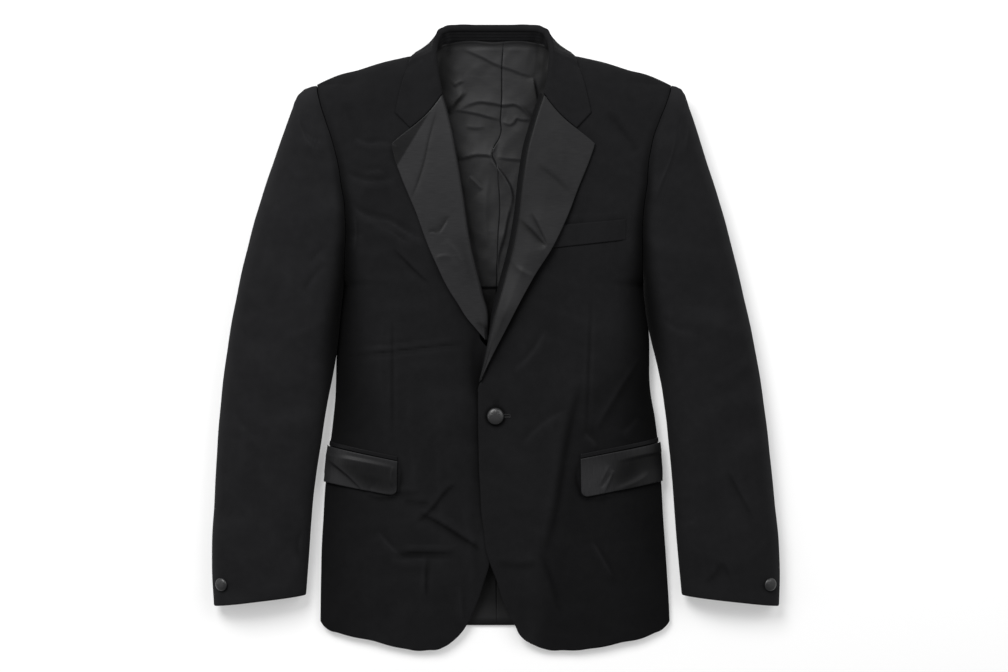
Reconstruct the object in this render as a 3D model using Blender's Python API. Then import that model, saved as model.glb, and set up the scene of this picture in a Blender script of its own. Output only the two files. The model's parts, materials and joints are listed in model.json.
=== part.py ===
"""A one-button evening jacket in black wool with satin lapels, laid flat on its back.

The jacket lies on the plane z = 0 with its front upwards and its collar towards +Y. Left and
right are the wearer's, so the left side is at +X. Sizes in the tables are in millimetres.
Each piece is a closed wall: a grid of points on its outer face, and the same grid moved in by
the cloth's thickness.
"""

import math

import bmesh
import bpy
import numpy as np
from mathutils import Vector

for old in list(bpy.data.objects):
    bpy.data.objects.remove(old)
bpy.context.scene.unit_settings.system = "METRIC"

MM = 0.001

# Cloth thicknesses and the gaps between pieces.
WOOL = 2.0
BACK_WOOL = 1.8
COLLAR_WALL = 1.6
SATIN = 1.2
LINING = 1.0
SEAM = 0.3
SLEEVE_SEAM = 0.6
LAY = 0.5

# Main lines of the jacket.
MIDDLE = -3.0
NECK_MIDDLE = -4.5
UNDERARM = 66.0
SHOULDER_POINT = 304.0
HEM = -341.5
HALF_BACK_HEM = 146.0
HALF_BACK_UNDERARM = 118.0
SHOULDER_ROLL = 38.0
SHOULDER_POWER = 2.2
SIDE_ROLL = 25.0
UNDERARM_ROLL = 8.0
CROWN_POWER = 4
CROWN_FALL = 0.5
CHEST_FALL = 0.4
CHEST_START = 60.0
CHEST_BLEND = 70.0
BACK_RISE = 185.0
FLAT_POWER = 7
SLEEVE_POWER = 3
LAPEL_ROLL = 3.6
LAPEL_TIP_ROLL = 2.2
COLLAR_ROLL = 4.5
LEAF_COLUMNS = 7
GORGE_GAP = (0, 0.9, 0.2)
FACING = 14.0
GORGE_DIP = 5.0
BREAK_LIFT = 1.0
LINING_RISE = 3.0
LINING_SPREAD = 28.0
LINING_TRIM = 30.0
LINING_SHOULDER_GAP = 14.0
FACING_CLEARANCE = 1.3
HEM_SAG = 160.0
FRONT_OVERLAP = 2.8
BREAK_OVERLAP = 9.0
CLOSURE_REACH = 80.0
CLOSURE_SPREAD = 56.0
ARMHOLE_HEIGHT = 46.0
UNDERARM_EDGE = 18.0
SHOULDER_EDGE = 25.0

BUTTON_X = -2.4
BUTTON_Y = -92.0
BUTTON_WIDTH = 20.4
BUTTON_DEPTH = 4.6
BUTTON_LIFT = 1.6
SHANK_WIDTH = 2.2
BUTTONHOLE_END = 18.0
BUTTONHOLE_EYE = 3.4
BUTTONHOLE_SLIT = 0.9
CUFF_BUTTON_WIDTH = 15.0
CUFF_BUTTON_DEPTH = 3.8
CUFF_BUTTON_LIFT = 0.9
CUFF_BUTTON_RING = 12.52
CUFF_BUTTON_SHARE = 0.815

# The body: the sides as they meet the sleeves, and the heights of its crown and of its side edge.
BODY = np.array([
    # y, right, left, crown, edge
    (-377, -215, 210, 11, 6),
    (-343, -214, 209, 14, 7),
    (-289, -213, 206, 22, 11),
    (-217, -210, 201, 29, 15),
    (-145, -204, 195, 35, 18),
    (-97, -198, 190, 39, 18),
    (-49, -194.5, 184.2, 42, 18),
    (-25, -194, 182.6, 43, 18),
    (23, -189.5, 178.4, 45, 18),
    (66, -184.5, 172.6, 47, 18),
    (107, -182, 171.6, 49, 18),
    (143, -181, 172, 50, 18),
    (185, -185.5, 178, 51, 18),
    (225, -193, 183, 51, 18),
    (260, -204, 193.5, 50, 18),
    (285, -212, 203.5, 49, 18),
    (304, -216, 209, 48, 18),
    (345, -216, 209, 46, 18),
], float)
BODY_Y, BODY_RIGHT, BODY_LEFT, BODY_CROWN, BODY_EDGE = BODY.T

# The shoulder seam and the back neck, out from the middle of the neck.
SHOULDER = np.array([
    # reach, y, height
    (0, 355.8, 4.0),
    (50, 355.4, 4.0),
    (60, 353, 5.0),
    (72, 346.5, 11.0),
    (85, 342.6, 20.0),
    (97, 340, 25.0),
    (112, 337, 25.0),
    (162, 323, 25.0),
    (200, 311, 25.0),
    (214, 304, 25.0),
], float)
SHOULDER_REACH, SHOULDER_Y, SHOULDER_Z = SHOULDER.T

# The front edges from the rounded quarter at the hem up to the shoulder.
RIGHT_EDGE = np.array([
    # x, y
    (-52, -364), (-44, -356), (-37, -346), (-27, -325), (-16, -294), (-8.4, -269), (-1, -240),
    (7, -205), (14, -160), (18, -110), (17, -70), (10, -38), (-4, -14), (-17, -4), (-20.6, 6),
    (-17.5, 18), (-17.5, 45), (-25, 72), (-35, 127), (-45, 180), (-57, 246), (-69, 288),
    (-77, 303), (-78.5, 324), (-78.5, 345),
], float)
LEFT_EDGE = np.array([
    # x, y
    (42, -368), (31, -361), (22, -346), (12, -327), (4, -305), (-1, -289), (-8.4, -269),
    (-16, -229), (-20, -180), (-22, -130), (-22.5, -90), (-22.3, -58), (-17.4, -48),
    (-11.2, -34), (-8.8, -22), (-6.6, -8), (0, 25), (8.5, 62), (20, 101), (28, 140), (35.5, 209),
    (47, 258), (60, 288), (68, 303), (69.5, 324), (69.5, 345),
], float)
RIGHT_HEM = np.array([
    # x, y
    (-52, -364), (-63, -371.5), (-83, -375.8), (-112, -374), (-150, -364.5), (-192, -355),
    (-207, -349.5), (-214.3, -341.5),
], float)
LEFT_HEM = np.array([
    # x, y
    (42, -368), (56, -374), (80, -376), (112, -374), (150, -366.5), (190, -355.5),
    (203, -348.5), (209, -341.5),
], float)

# Roll line and outer edge of each lapel, from its point on the front edge up to the gorge.
RIGHT_LAPEL = np.array([
    # roll_x, roll_y, edge_x, edge_y
    (-10.6, -2, -14.6, 0),
    (-9.6, 12, -24, 11),
    (-17, 55, -46, 41),
    (-29.5, 107, -73, 91),
    (-39, 168, -96, 150),
    (-48, 222, -115, 196),
    (-56, 262, -123.5, 221),
    (-64, 291, -126.5, 235),
], float)
LEFT_LAPEL = np.array([
    # roll_x, roll_y, edge_x, edge_y
    (-21.8, -51.4, -18.9, -47.6),
    (-16.5, -30, -9.5, -28),
    (-9.5, 4, 8, 6),
    (8, 70, 43, 72),
    (24, 140, 74, 124),
    (31, 198, 97, 180),
    (43, 254, 113, 221),
    (55, 291, 117.5, 235),
], float)
NOTCH_SHARE = 0.37

# The collar at eleven places from its front end to the middle of the back neck. Reaches are from
# the middle of the neck, turn is the way that the leaf falls (0 sideways, 90 towards +Y), and
# stand is how far the fold has stood up (0 lying on the front, 90 upright at the back). An edge
# with no height of its own lies on the front.
COLLAR = [
    # roll_reach, roll_y, roll_z, turn, stand, edge_reach, edge_y, edge_z, neck_reach, neck_y, neck_z
    (61.5, 301, 49, 0, 0, 116.5, 269, None, 70.5, 301, 40),
    (63.5, 312, 49.5, 0, 8, 112.5, 288, None, 69.5, 312, 36),
    (65.3, 325, 50, 0, 10, 107.3, 309, None, 69.8, 325, 32),
    (66.3, 338, 49.5, 4, 14, 101.8, 324, None, 69.5, 337, 27),
    (66.3, 344, 49, 9, 18, 99.5, 333.5, 42, 68.7, 341.5, 24),
    (66, 349, 48, 16, 24, 96, 341.5, 30, 67.5, 345.5, 21),
    (63, 359, 45, 36, 38, 88, 347.5, 17, 63, 351, 14),
    (57, 366.5, 41, 58, 56, 73, 355, 4, 55, 355.5, 8),
    (43, 370.8, 36, 80, 78, 46, 361, 0, 41, 357, 5.6),
    (21, 372, 32.5, 87, 88, 22, 361, 0, 20, 357.2, 5),
    (0, 372.3, 31.5, 90, 90, 0, 361, 0, 0, 357.2, 5),
]

# The sleeves: outlines against y, and the rings that fan round the underarm and run to the cuff.
SLEEVE_OUTER = np.array([
    # y, right, left
    (304, -216, 209), (299, -233.5, 222), (287, -242, 229), (275, -247, 233), (239, -259, 244),
    (191, -276, 258), (143, -291, 273), (95, -303, 286), (23, -318.5, 302), (-49, -329.5, 316),
    (-121, -336, 325), (-193, -339.6, 333.6), (-277, -342.6, 343.2), (-320, -338, 338.5),
], float)[::-1]
SLEEVE_INNER = np.array([
    # y, right, left
    (66, -185.4, 173.5), (23, -190.4, 179.3), (-1, -193.2, 185), (-25, -195.6, 190.5),
    (-49, -199, 195), (-73, -203, 199), (-121, -211, 206), (-193, -221, 212.5),
    (-265, -226.5, 218), (-310, -230, 223),
], float)[::-1]
SLEEVE_RINGS = np.array([
    # outer_y, inner_y, height, inner_edge, outer_edge
    (304, 66, 46, 18, 25),
    (299, 63, 49, 18, 25),
    (280, 59, 51, 18, 25),
    (248, 52, 52, 18, 24),
    (210, 40, 52, 18, 23),
    (165, 22, 52, 18, 22),
    (110, -6, 51, 18, 22),
    (50, -40, 50, 19, 21),
    (-15, -80, 48, 19, 20),
    (-80, -126, 46, 19, 19),
    (-140, -170, 44, 18, 18),
    (-200, -214, 42, 17, 17),
    (-260, -256, 39, 16, 16),
    (-321, -308, 35, 15, 15),
], float)

# What lies on the fronts: x and y of the corners, in order top start, top end, bottom end,
# bottom start. A start is nearer the middle.
RIGHT_FLAP = ((-119, -146), (-206, -128), (-206, -172), (-120, -188))
LEFT_FLAP = ((100, -143), (197, -124), (197, -171), (101, -190))
BREAST_WELT = ((56, 133.5), (153.6, 142.5), (153.6, 118), (56, 107))
FLAP_CLOTH = 1.6
FLAP_CORNER = 9.0
FLAP_FLARE = 2.0
JETTING_WIDTH = 5.0
JETTING_CLOTH = 1.0
WELT_CLOTH = 1.4
WELT_MIDDLE = 122.0
WELT_BLEND = 28.0


def smoothstep(value):
    """0 below 0, 1 above 1, and a smooth rise between."""
    share = np.clip(value, 0, 1)
    return share * share * (3 - 2 * share)


def curve(knots, values, at):
    """A smooth line through values given at rising knots. The values may be rows of columns."""
    knots, values, at = np.asarray(knots, float), np.asarray(values, float), np.asarray(at, float)
    slopes = np.gradient(values, knots, axis=0)
    index = np.clip(np.searchsorted(knots, at) - 1, 0, len(knots) - 2)
    width = knots[index + 1] - knots[index]
    share = np.clip((at - knots[index]) / width, 0, 1)
    if values.ndim > 1:
        width, share = width[..., None], share[..., None]
    start = values[index] + share * width * slopes[index]
    end = values[index + 1] - (1 - share) * width * slopes[index + 1]
    blend = share * share * (3 - 2 * share)
    return start * (1 - blend) + end * blend


def lengths(points):
    """The distance along a line of points, as a share of its whole length."""
    steps = np.linalg.norm(np.diff(points, axis=0), axis=1)
    along = np.concatenate([[0], np.cumsum(steps)])
    return along / along[-1]


def along(points, shares):
    """Points at the given shares of a smooth line's length."""
    return curve(lengths(points), points, shares)


def body_side(side, y):
    """x of the body's edge on one side, -1 for the wearer's right and 1 for the left."""
    return curve(BODY_Y, BODY_RIGHT if side < 0 else BODY_LEFT, y)


def shoulder_line(x):
    """y and height of the shoulder seam and back neck at x."""
    reach = np.abs(x - NECK_MIDDLE)
    return curve(SHOULDER_REACH, SHOULDER_Y, reach), curve(SHOULDER_REACH, SHOULDER_Z, reach)


def oval(share, power):
    """1 in the middle, falling to 0 at shares of -1 and 1, where it is upright."""
    return np.sqrt(np.clip(1 - np.abs(share) ** power, 0, 1))


def armhole_height(y):
    """Height of the armhole seam on the front, from the underarm to the shoulder."""
    share = np.clip(2 * (y - UNDERARM) / (SHOULDER_POINT - UNDERARM) - 1, -1, 1)
    edge = UNDERARM_EDGE + (SHOULDER_EDGE - UNDERARM_EDGE) * (share + 1) / 2
    return edge + (ARMHOLE_HEIGHT - edge) * oval(share, SLEEVE_POWER)


def overlap(y):
    """How far the left front stands above the right one where they cross."""
    rise = (BREAK_OVERLAP - FRONT_OVERLAP) * smoothstep((y + 95) / 50)
    return FRONT_OVERLAP + rise - BREAK_OVERLAP * smoothstep((y - 25) / 75)


def front_height(side, x, y):
    """Height of the outer face of a front: crowned across, rolled off at side and shoulder."""
    x, y = np.asarray(x, float), np.asarray(y, float)
    across_side = np.where(x < MIDDLE, -1, 1)
    edge_x = np.where(across_side < 0, body_side(-1, y), body_side(1, y))
    across = np.clip((x - MIDDLE) / (edge_x - MIDDLE), 0, 1)
    edge = np.where(y > UNDERARM, armhole_height(y), curve(BODY_Y, BODY_EDGE, y))
    power = CROWN_FALL + CHEST_FALL * smoothstep((y - CHEST_START) / CHEST_BLEND)
    fall = np.clip(1 - across**CROWN_POWER, 0, 1) ** power
    height = edge + (curve(BODY_Y, BODY_CROWN, y) - edge) * fall
    seam_y, seam_z = shoulder_line(x)
    near_seam = np.clip(1 - (seam_y - y) / SHOULDER_ROLL, 0, 1)
    height = seam_z + (height - seam_z) * oval(near_seam, SHOULDER_POWER)
    near = smoothstep((CLOSURE_REACH - side * x) / CLOSURE_SPREAD)
    return height + side * 0.5 * near * overlap(y)


def with_height(side, plan):
    """Plan points lifted onto a front."""
    return np.dstack([plan[..., 0], plan[..., 1], front_height(side, plan[..., 0], plan[..., 1])])


def normals(grid, upwards=True):
    """Unit normals of a grid of points, on the side that faces mostly up or mostly down."""
    normal = np.cross(np.gradient(grid, axis=0), np.gradient(grid, axis=1))
    normal /= np.maximum(np.linalg.norm(normal, axis=2, keepdims=True), 1e-9)
    return normal if (normal[..., 2].sum() > 0) == upwards else -normal


def moved(grid, distance, upwards=True, level=()):
    """The grid moved along its normals, which are level in the columns named."""
    normal = normals(grid, upwards)
    for column in level:
        normal[:, column, 2] = 0
        normal[:, column] /= np.linalg.norm(normal[:, column], axis=1, keepdims=True)
    return grid + normal * distance


def material(name, colour, roughness, sheen=0.0):
    made = bpy.data.materials.new(name)
    made.use_nodes = True
    shader = made.node_tree.nodes["Principled BSDF"]
    shader.inputs["Base Color"].default_value = (*colour, 1)
    shader.inputs["Roughness"].default_value = roughness
    shader.inputs["Metallic"].default_value = 0.0
    shader.inputs["Sheen Weight"].default_value = sheen
    made.diffuse_color = (*colour, 1)
    return made


def shell(name, outer, inner, finish):
    """A closed wall between two grids of points that have the same rows and columns."""
    rows, columns = outer.shape[:2]
    count = rows * columns
    points = np.concatenate([outer.reshape(-1, 3), inner.reshape(-1, 3)]) * MM
    index = np.arange(count).reshape(rows, columns)
    quads = np.stack([index[:-1, :-1], index[1:, :-1], index[1:, 1:], index[:-1, 1:]], axis=-1)
    quads = quads.reshape(-1, 4)
    border = np.concatenate([index[:, 0], index[-1, 1:], index[-2::-1, -1], index[0, -2:0:-1]])
    after = np.roll(border, -1)
    rim = np.stack([after, border, border + count, after + count], axis=-1)
    faces = np.concatenate([quads, quads[:, ::-1] + count, rim[:, ::-1]])
    mesh = bpy.data.meshes.new(name)
    mesh.from_pydata(points.tolist(), [], faces.tolist())
    mesh.materials.append(finish)
    build = bmesh.new()
    build.from_mesh(mesh)
    bmesh.ops.recalc_face_normals(build, faces=build.faces)
    build.to_mesh(mesh)
    build.free()
    mesh.shade_smooth()
    mesh.set_sharp_from_angle(angle=math.radians(50))
    made = bpy.data.objects.new(name, mesh)
    bpy.context.scene.collection.objects.link(made)
    return made


def wall(name, outer, thickness, finish, upwards=True, level=()):
    """A closed wall of one thickness under a grid of points on its outer face."""
    return shell(name, outer, moved(outer, -thickness, upwards, level), finish)


def front_plan(side, rows=27, columns=12):
    """Plan points of a front, from the hem to the shoulder and from the front edge to the side."""
    edge = RIGHT_EDGE if side < 0 else LEFT_EDGE
    hem = RIGHT_HEM if side < 0 else LEFT_HEM
    bands = (
        # share of the edge line at each end, and the rows between them
        np.linspace(0, 0.045, 3)[:-1],
        np.linspace(0.045, 0.93, rows - 6)[:-1],
        1 - 0.07 * (1 - np.sin(np.linspace(0, math.pi / 2, 5))),
    )
    shares = np.concatenate(bands)
    inner = along(edge, shares)
    inner[-1, 1] = shoulder_line(inner[-1, 0])[0]
    low, high = hem[-1, 1], SHOULDER_POINT
    outer_y = low + (high - low) * curve([0, 0.12, 0.5, 0.93, 1], [0, 0.1, 0.5, 0.96, 1], shares)
    outer = np.column_stack([body_side(side, outer_y), outer_y])
    across = np.sin(np.linspace(0, math.pi / 2, columns)) ** 1.05
    plan = inner[:, None] + (outer - inner)[:, None] * across[None, :, None]
    sag = along(hem, across) - (hem[0] + (hem[-1] - hem[0]) * across[:, None])
    fade = np.clip(1 - (inner[:, 1] - inner[0, 1]) / HEM_SAG, 0, 1) ** 1.5
    plan += sag[None] * fade[:, None, None]
    top = shoulder_line(plan[-1, :, 0])[0] - plan[-1, :, 1]
    lift = smoothstep((plan[:, :1, 1] - 200) / (plan[-1:, :1, 1] - 200))
    plan[..., 1] += lift * top
    return plan


def make_front(name, side, finish):
    outer = with_height(side, front_plan(side))
    return wall(name, outer, WOOL, finish, level=[-1])


def make_side(name, side, finish):
    """A side panel: from the side edge it rolls under and runs in below the body."""
    y = front_plan(side)[:, -1, 1]
    y = np.append(y[y < UNDERARM - 4 * SEAM], UNDERARM - 2 * SEAM)
    edge_x, edge_z = body_side(side, y), curve(BODY_Y, BODY_EDGE, y) - 3 * SEAM
    roll = SIDE_ROLL + (UNDERARM_ROLL - SIDE_ROLL) * smoothstep((y - 10) / 50)
    turn = np.radians([0, 22, 45, 68, 90])
    bend_x = edge_x[:, None] - side * roll[:, None] * (1 - np.cos(turn))
    bend_z = edge_z[:, None] * (1 - np.sin(turn))
    seam_x = back_seam(side, y)
    flat_x = np.stack([(bend_x[:, -1] + seam_x) / 2, seam_x], axis=1)
    x = np.concatenate([bend_x, flat_x], axis=1)
    z = np.concatenate([bend_z, np.zeros_like(flat_x)], axis=1)
    outer = np.dstack([x, np.broadcast_to(y[:, None], x.shape), z])
    return wall(name, outer, WOOL, finish, upwards=False, level=[0])


def back_seam(side, y):
    """x of the straight seam between a side panel and the back."""
    share = (y - HEM) / (UNDERARM - HEM)
    return NECK_MIDDLE + side * (HALF_BACK_HEM + (HALF_BACK_UNDERARM - HALF_BACK_HEM) * share)


def back_height(x, y):
    """Height of the back's outer face: flat on what it lies on, rising to the shoulder seam."""
    seam_y, seam_z = shoulder_line(x)
    share = np.clip((y - BACK_RISE) / (seam_y - BACK_RISE), 0, 1)
    return seam_z * (1 - oval(share, FLAT_POWER))


def back_plan(side, spread, trim, shoulder_gap, columns=5):
    """Plan points of half a back, from the hem to the shoulder and from the middle outwards.

    It spreads past the side panel's seam below the underarm, and is trimmed short of the armhole.
    """
    below = np.linspace(HEM, UNDERARM - 0.3, 7)
    above = np.concatenate([np.linspace(UNDERARM + 0.3, 270, 6), [290, 299, SHOULDER_POINT - 0.2]])
    y = np.concatenate([below, above])
    below_x, above_x = back_seam(side, y) + side * spread, body_side(side, y) - side * trim
    edge_x = np.where(y < UNDERARM, below_x, above_x) - side * SEAM
    middle_x = np.full(len(y), NECK_MIDDLE + side * SEAM / 2)
    x = middle_x[:, None] + (edge_x - middle_x)[:, None] * np.linspace(0, 1, columns)
    top = shoulder_line(x)[0] - SEAM - shoulder_gap * smoothstep((np.abs(x - NECK_MIDDLE) - 52) / 20)
    share = smoothstep((y - UNDERARM) / (SHOULDER_POINT - UNDERARM))[:, None]
    plan_y = y[:, None] + share * (top - SHOULDER_POINT)
    return np.dstack([x, plan_y])


def make_back(name, side, finish):
    plan = back_plan(side, 0, 0, 0)
    outer = np.dstack([plan, back_height(plan[..., 0], plan[..., 1])])
    return shell(name, outer, outer + (0, 0, BACK_WOOL), finish)


def make_lining(name, side, finish):
    """Half the back lining, lying on the back."""
    plan = back_plan(side, LINING_SPREAD, LINING_TRIM, LINING_SHOULDER_GAP)
    clear = WOOL + 0.1 + LINING_RISE * smoothstep((plan[..., 1] - 250) / 90)
    below = np.dstack([plan, back_height(plan[..., 0], plan[..., 1]) + clear])
    return shell(name, below + (0, 0, LINING), below, finish)


def lapel_lines(side, shares):
    table = RIGHT_LAPEL if side < 0 else LEFT_LAPEL
    knots = lengths(table[:, :2])
    rows = curve(knots, table, shares)
    return rows[..., :2], rows[..., 2:]


def fold_arc(steps=5):
    """Turn of the fold from the leaf, over the roll, to the inside."""
    return np.linspace(math.pi / 2, -math.pi / 2, steps)


def lapel_grid(side, shares, columns=LEAF_COLUMNS):
    """Points across a lapel at shares of its roll line: leaf, fold, then facing."""
    roll, edge = lapel_lines(side, shares)
    radius = LAPEL_TIP_ROLL + (LAPEL_ROLL - LAPEL_TIP_ROLL) * smoothstep(shares / 0.25)
    out = edge - roll
    width = np.linalg.norm(out, axis=1)
    out /= width[:, None]
    radius = np.minimum(radius, width / 2.2)
    start = roll + out * radius[:, None]
    across = np.linspace(0, 1, columns)
    leaf = edge[:, None] + (start - edge)[:, None] * across[None, :, None]
    dip = GORGE_DIP * np.sin(math.pi * across**1.6)
    leaf[..., 1] -= dip[None] * smoothstep((shares - 0.8) / 0.2)[:, None]
    base = front_height(side, leaf[..., 0], leaf[..., 1])
    roll_z = base[:, -1] - WOOL / 2
    proud = LAY + SATIN + welt_room(side, leaf[..., 1])
    proud = proud + BREAK_LIFT * (1 - smoothstep(shares / 0.6))[:, None]
    rise = (roll_z + radius - base[:, -1])[:, None] - proud
    leaf_z = base + proud + rise * across**2
    turn = fold_arc()[1:]
    arc = start[:, None] - out[:, None] * (radius[:, None] * np.cos(turn))[..., None]
    arc_z = roll_z[:, None] + radius[:, None] * np.sin(turn)
    reach = np.minimum(FACING, width)[:, None]
    facing = roll + out * reach
    inside = front_height(side, facing[:, 0], facing[:, 1]) - WOOL
    facing_z = inside - SATIN - FACING_CLEARANCE
    plan = np.concatenate([leaf, arc, facing[:, None]], axis=1)
    heights = np.concatenate([leaf_z, arc_z, facing_z[:, None]], axis=1)
    return np.dstack([plan, heights])


def welt_room(side, y):
    """Extra height of the left lapel where it lies over the breast welt."""
    if side < 0:
        return np.zeros_like(y)
    return (SEAM + WELT_CLOTH) * smoothstep(1.6 - np.abs(y - WELT_MIDDLE) / WELT_BLEND)


def make_lapel(name, side, finish):
    grid = lapel_grid(side, np.linspace(0, 1, 14) ** 1.2)
    return wall(name, grid, SATIN, finish)


def collar_station(side, row):
    """Points across the collar at one place: leaf, fold, then stand down to the neck seam."""
    (reach, y, z, turn, stand, edge_reach, edge_y, edge_z, neck_reach, neck_y, neck_z) = row
    turn, stand = math.radians(turn), math.radians(stand)
    out = np.array([side * math.cos(turn), math.sin(turn), 0])
    up = np.array([0, 0, 1])
    opening = math.cos(stand) * out - math.sin(stand) * up
    over = math.cos(stand) * up + math.sin(stand) * out
    tip = np.array([NECK_MIDDLE + side * reach, y, z])
    centre = tip + COLLAR_ROLL * opening
    angle = fold_arc()[:, None]
    arc = centre + COLLAR_ROLL * (np.sin(angle) * over - np.cos(angle) * opening)
    edge = np.array([NECK_MIDDLE + side * edge_reach, edge_y, edge_z or 0])
    share = np.linspace(0, 1, LEAF_COLUMNS)[:, None]
    if edge_z is None:
        leaf = edge[:2] + (arc[0, :2] - edge[:2]) * share
        base = front_height(side, leaf[:, 0], leaf[:, 1]) + LAY + COLLAR_WALL
        lift = (arc[0, 2] - base[-1]) * share[:, 0] ** 1.6
        leaf = np.column_stack([leaf, base + lift])
    else:
        hang = edge + (arc[0] - edge) * np.array([0.9, 0.9, 0.15])
        leaf = edge * (1 - share) ** 2 + hang * 2 * share * (1 - share) + arc[0] * share**2
    neck = np.array([NECK_MIDDLE + side * neck_reach, neck_y, neck_z])
    middle = (arc[-1] + neck) / 2
    return np.concatenate([leaf, arc[1:], [middle, neck]])


def collar_front_end(side):
    """The collar's first line of points, along the gorge from the notch to the roll."""
    fine = 2 * LEAF_COLUMNS
    lapel = lapel_grid(side, np.array([1.0]), fine)[0]
    share = np.linspace(NOTCH_SHARE, 1, LEAF_COLUMNS)
    leaf = curve(np.linspace(0, 1, fine), lapel[:fine], share)
    fold = lapel[fine:-1]
    middle = (fold[-1] + lapel[-1]) / 2
    return np.concatenate([leaf, fold, [middle, lapel[-1]]]) + GORGE_GAP


def make_collar(name, finish):
    """One band from the right front, round the back neck, to the left front."""
    right = [collar_front_end(-1)] + [collar_station(-1, row) for row in COLLAR]
    left = [collar_front_end(1)] + [collar_station(1, row) for row in COLLAR[:-1]]
    grid = np.array(right + left[::-1])
    return wall(name, grid, COLLAR_WALL, finish, upwards=True)


def sleeve_rings(side, top, rings, share):
    """Rings of one half of a sleeve, at places along the table of rings.

    A share is the place across a ring, from -1 at the inner seam to 1 at the outer one.
    """
    outer_line = SLEEVE_OUTER[:, 1] if side < 0 else SLEEVE_OUTER[:, 2]
    inner_line = SLEEVE_INNER[:, 1] if side < 0 else SLEEVE_INNER[:, 2]
    table = curve(np.arange(len(SLEEVE_RINGS)), SLEEVE_RINGS, rings)
    outer_y, inner_y, height, inner_edge, outer_edge = (column[:, None] for column in table.T)
    outer_x = curve(SLEEVE_OUTER[:, 0], outer_line, outer_y)
    inner_x = curve(SLEEVE_INNER[:, 0], inner_line, inner_y)
    share = share[None]
    along_ring = (share + 1) / 2
    y = inner_y + (outer_y - inner_y) * along_ring
    x = inner_x + (outer_x - inner_x) * along_ring
    armhole_y = UNDERARM + (SHOULDER_POINT - UNDERARM) * along_ring
    armhole_x = body_side(side, armhole_y)
    bulge = armhole_x - armhole_x[:, :1] - (armhole_x[:, -1:] - armhole_x[:, :1]) * along_ring
    fade = np.clip(1 - rings / 5, 0, 1)[:, None] ** 1.3
    x = x + bulge * fade + side * SLEEVE_SEAM * (1 - np.minimum(rings, 1))[:, None]
    edge = inner_edge + (outer_edge - inner_edge) * along_ring
    if top:
        z = edge + SEAM / 2 + (height - edge) * oval(share, SLEEVE_POWER)
    else:
        z = (edge - SEAM / 2) * (1 - oval(share, FLAT_POWER))
    return np.dstack([x, y, z])


def make_sleeve_half(name, side, top, finish, columns):
    share = -np.cos(np.linspace(0, math.pi, columns))
    grid = sleeve_rings(side, top, np.arange(len(SLEEVE_RINGS)), share)
    return wall(name, grid, WOOL, finish, upwards=top, level=[0, -1])


def laid(side, plan, lift):
    """Plan points moved out from a front along its normals. Past the side they stay at its edge."""
    step = 0.4
    y = plan[..., 1]
    limit = np.abs(body_side(side, y)) - 2 * step
    x = np.clip(plan[..., 0], -limit, limit)
    height = front_height(side, x, y)
    slope_x = (front_height(side, x + step, y) - front_height(side, x - step, y)) / (2 * step)
    slope_y = (front_height(side, x, y + step) - front_height(side, x, y - step)) / (2 * step)
    normal = np.dstack([-slope_x, -slope_y, np.ones_like(height)])
    normal /= np.linalg.norm(normal, axis=2, keepdims=True)
    return np.dstack([x, y, height]) + normal * np.asarray(lift)[..., None]


def patch_plan(corners, across, down, corner=0.0):
    """Plan points of a four-sided piece whose lower corner nearest the middle is rounded."""
    top_start, top_end, bottom_end, bottom_start = np.array(corners, float)
    across, down = across[:, None, None], down[None, :, None]
    top = top_start + (top_end - top_start) * across
    bottom = bottom_start + (bottom_end - bottom_start) * across
    width = np.linalg.norm(bottom_end - bottom_start)
    height = np.linalg.norm(bottom_start - top_start)
    inside = np.clip(1 - across * width / corner, 0, 1) if corner else 0 * across
    depth = 1 - corner / height * (1 - np.sqrt(1 - inside**2))
    return top + (bottom - top) * down * depth


def make_laid(name, side, plan, gap, thickness, finish, flare=0.0):
    """A piece that lies on a front. A flare lifts its outer end."""
    lift = gap + flare * np.linspace(0, 1, len(plan))[:, None] ** 2 + 0 * plan[..., 0]
    return shell(name, laid(side, plan, lift + thickness), laid(side, plan, lift), finish)


def make_flap(name, side, corners, finish):
    across = np.array([0, 0.025, 0.06, 0.105, 0.3, 0.5, 0.7, 0.82, 0.91, 0.96, 1])
    plan = patch_plan(corners, across, np.linspace(0, 1, 4), FLAP_CORNER)
    return make_laid(name, side, plan, LAY, FLAP_CLOTH, finish, FLAP_FLARE)


def make_jetting(name, side, corners, finish):
    """The folded edge of the pocket mouth, just above the flap."""
    start, end = np.array(corners[0], float), np.array(corners[1], float)
    low, high = np.array([0, 2 * SEAM]), np.array([0, 2 * SEAM + JETTING_WIDTH])
    strip = (start + high, end + high, end + low, start + low)
    plan = patch_plan(strip, np.linspace(0, 1, 9) ** 0.8, np.array([0, 1]))
    return make_laid(name, side, plan, LAY, JETTING_CLOTH, finish)


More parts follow.
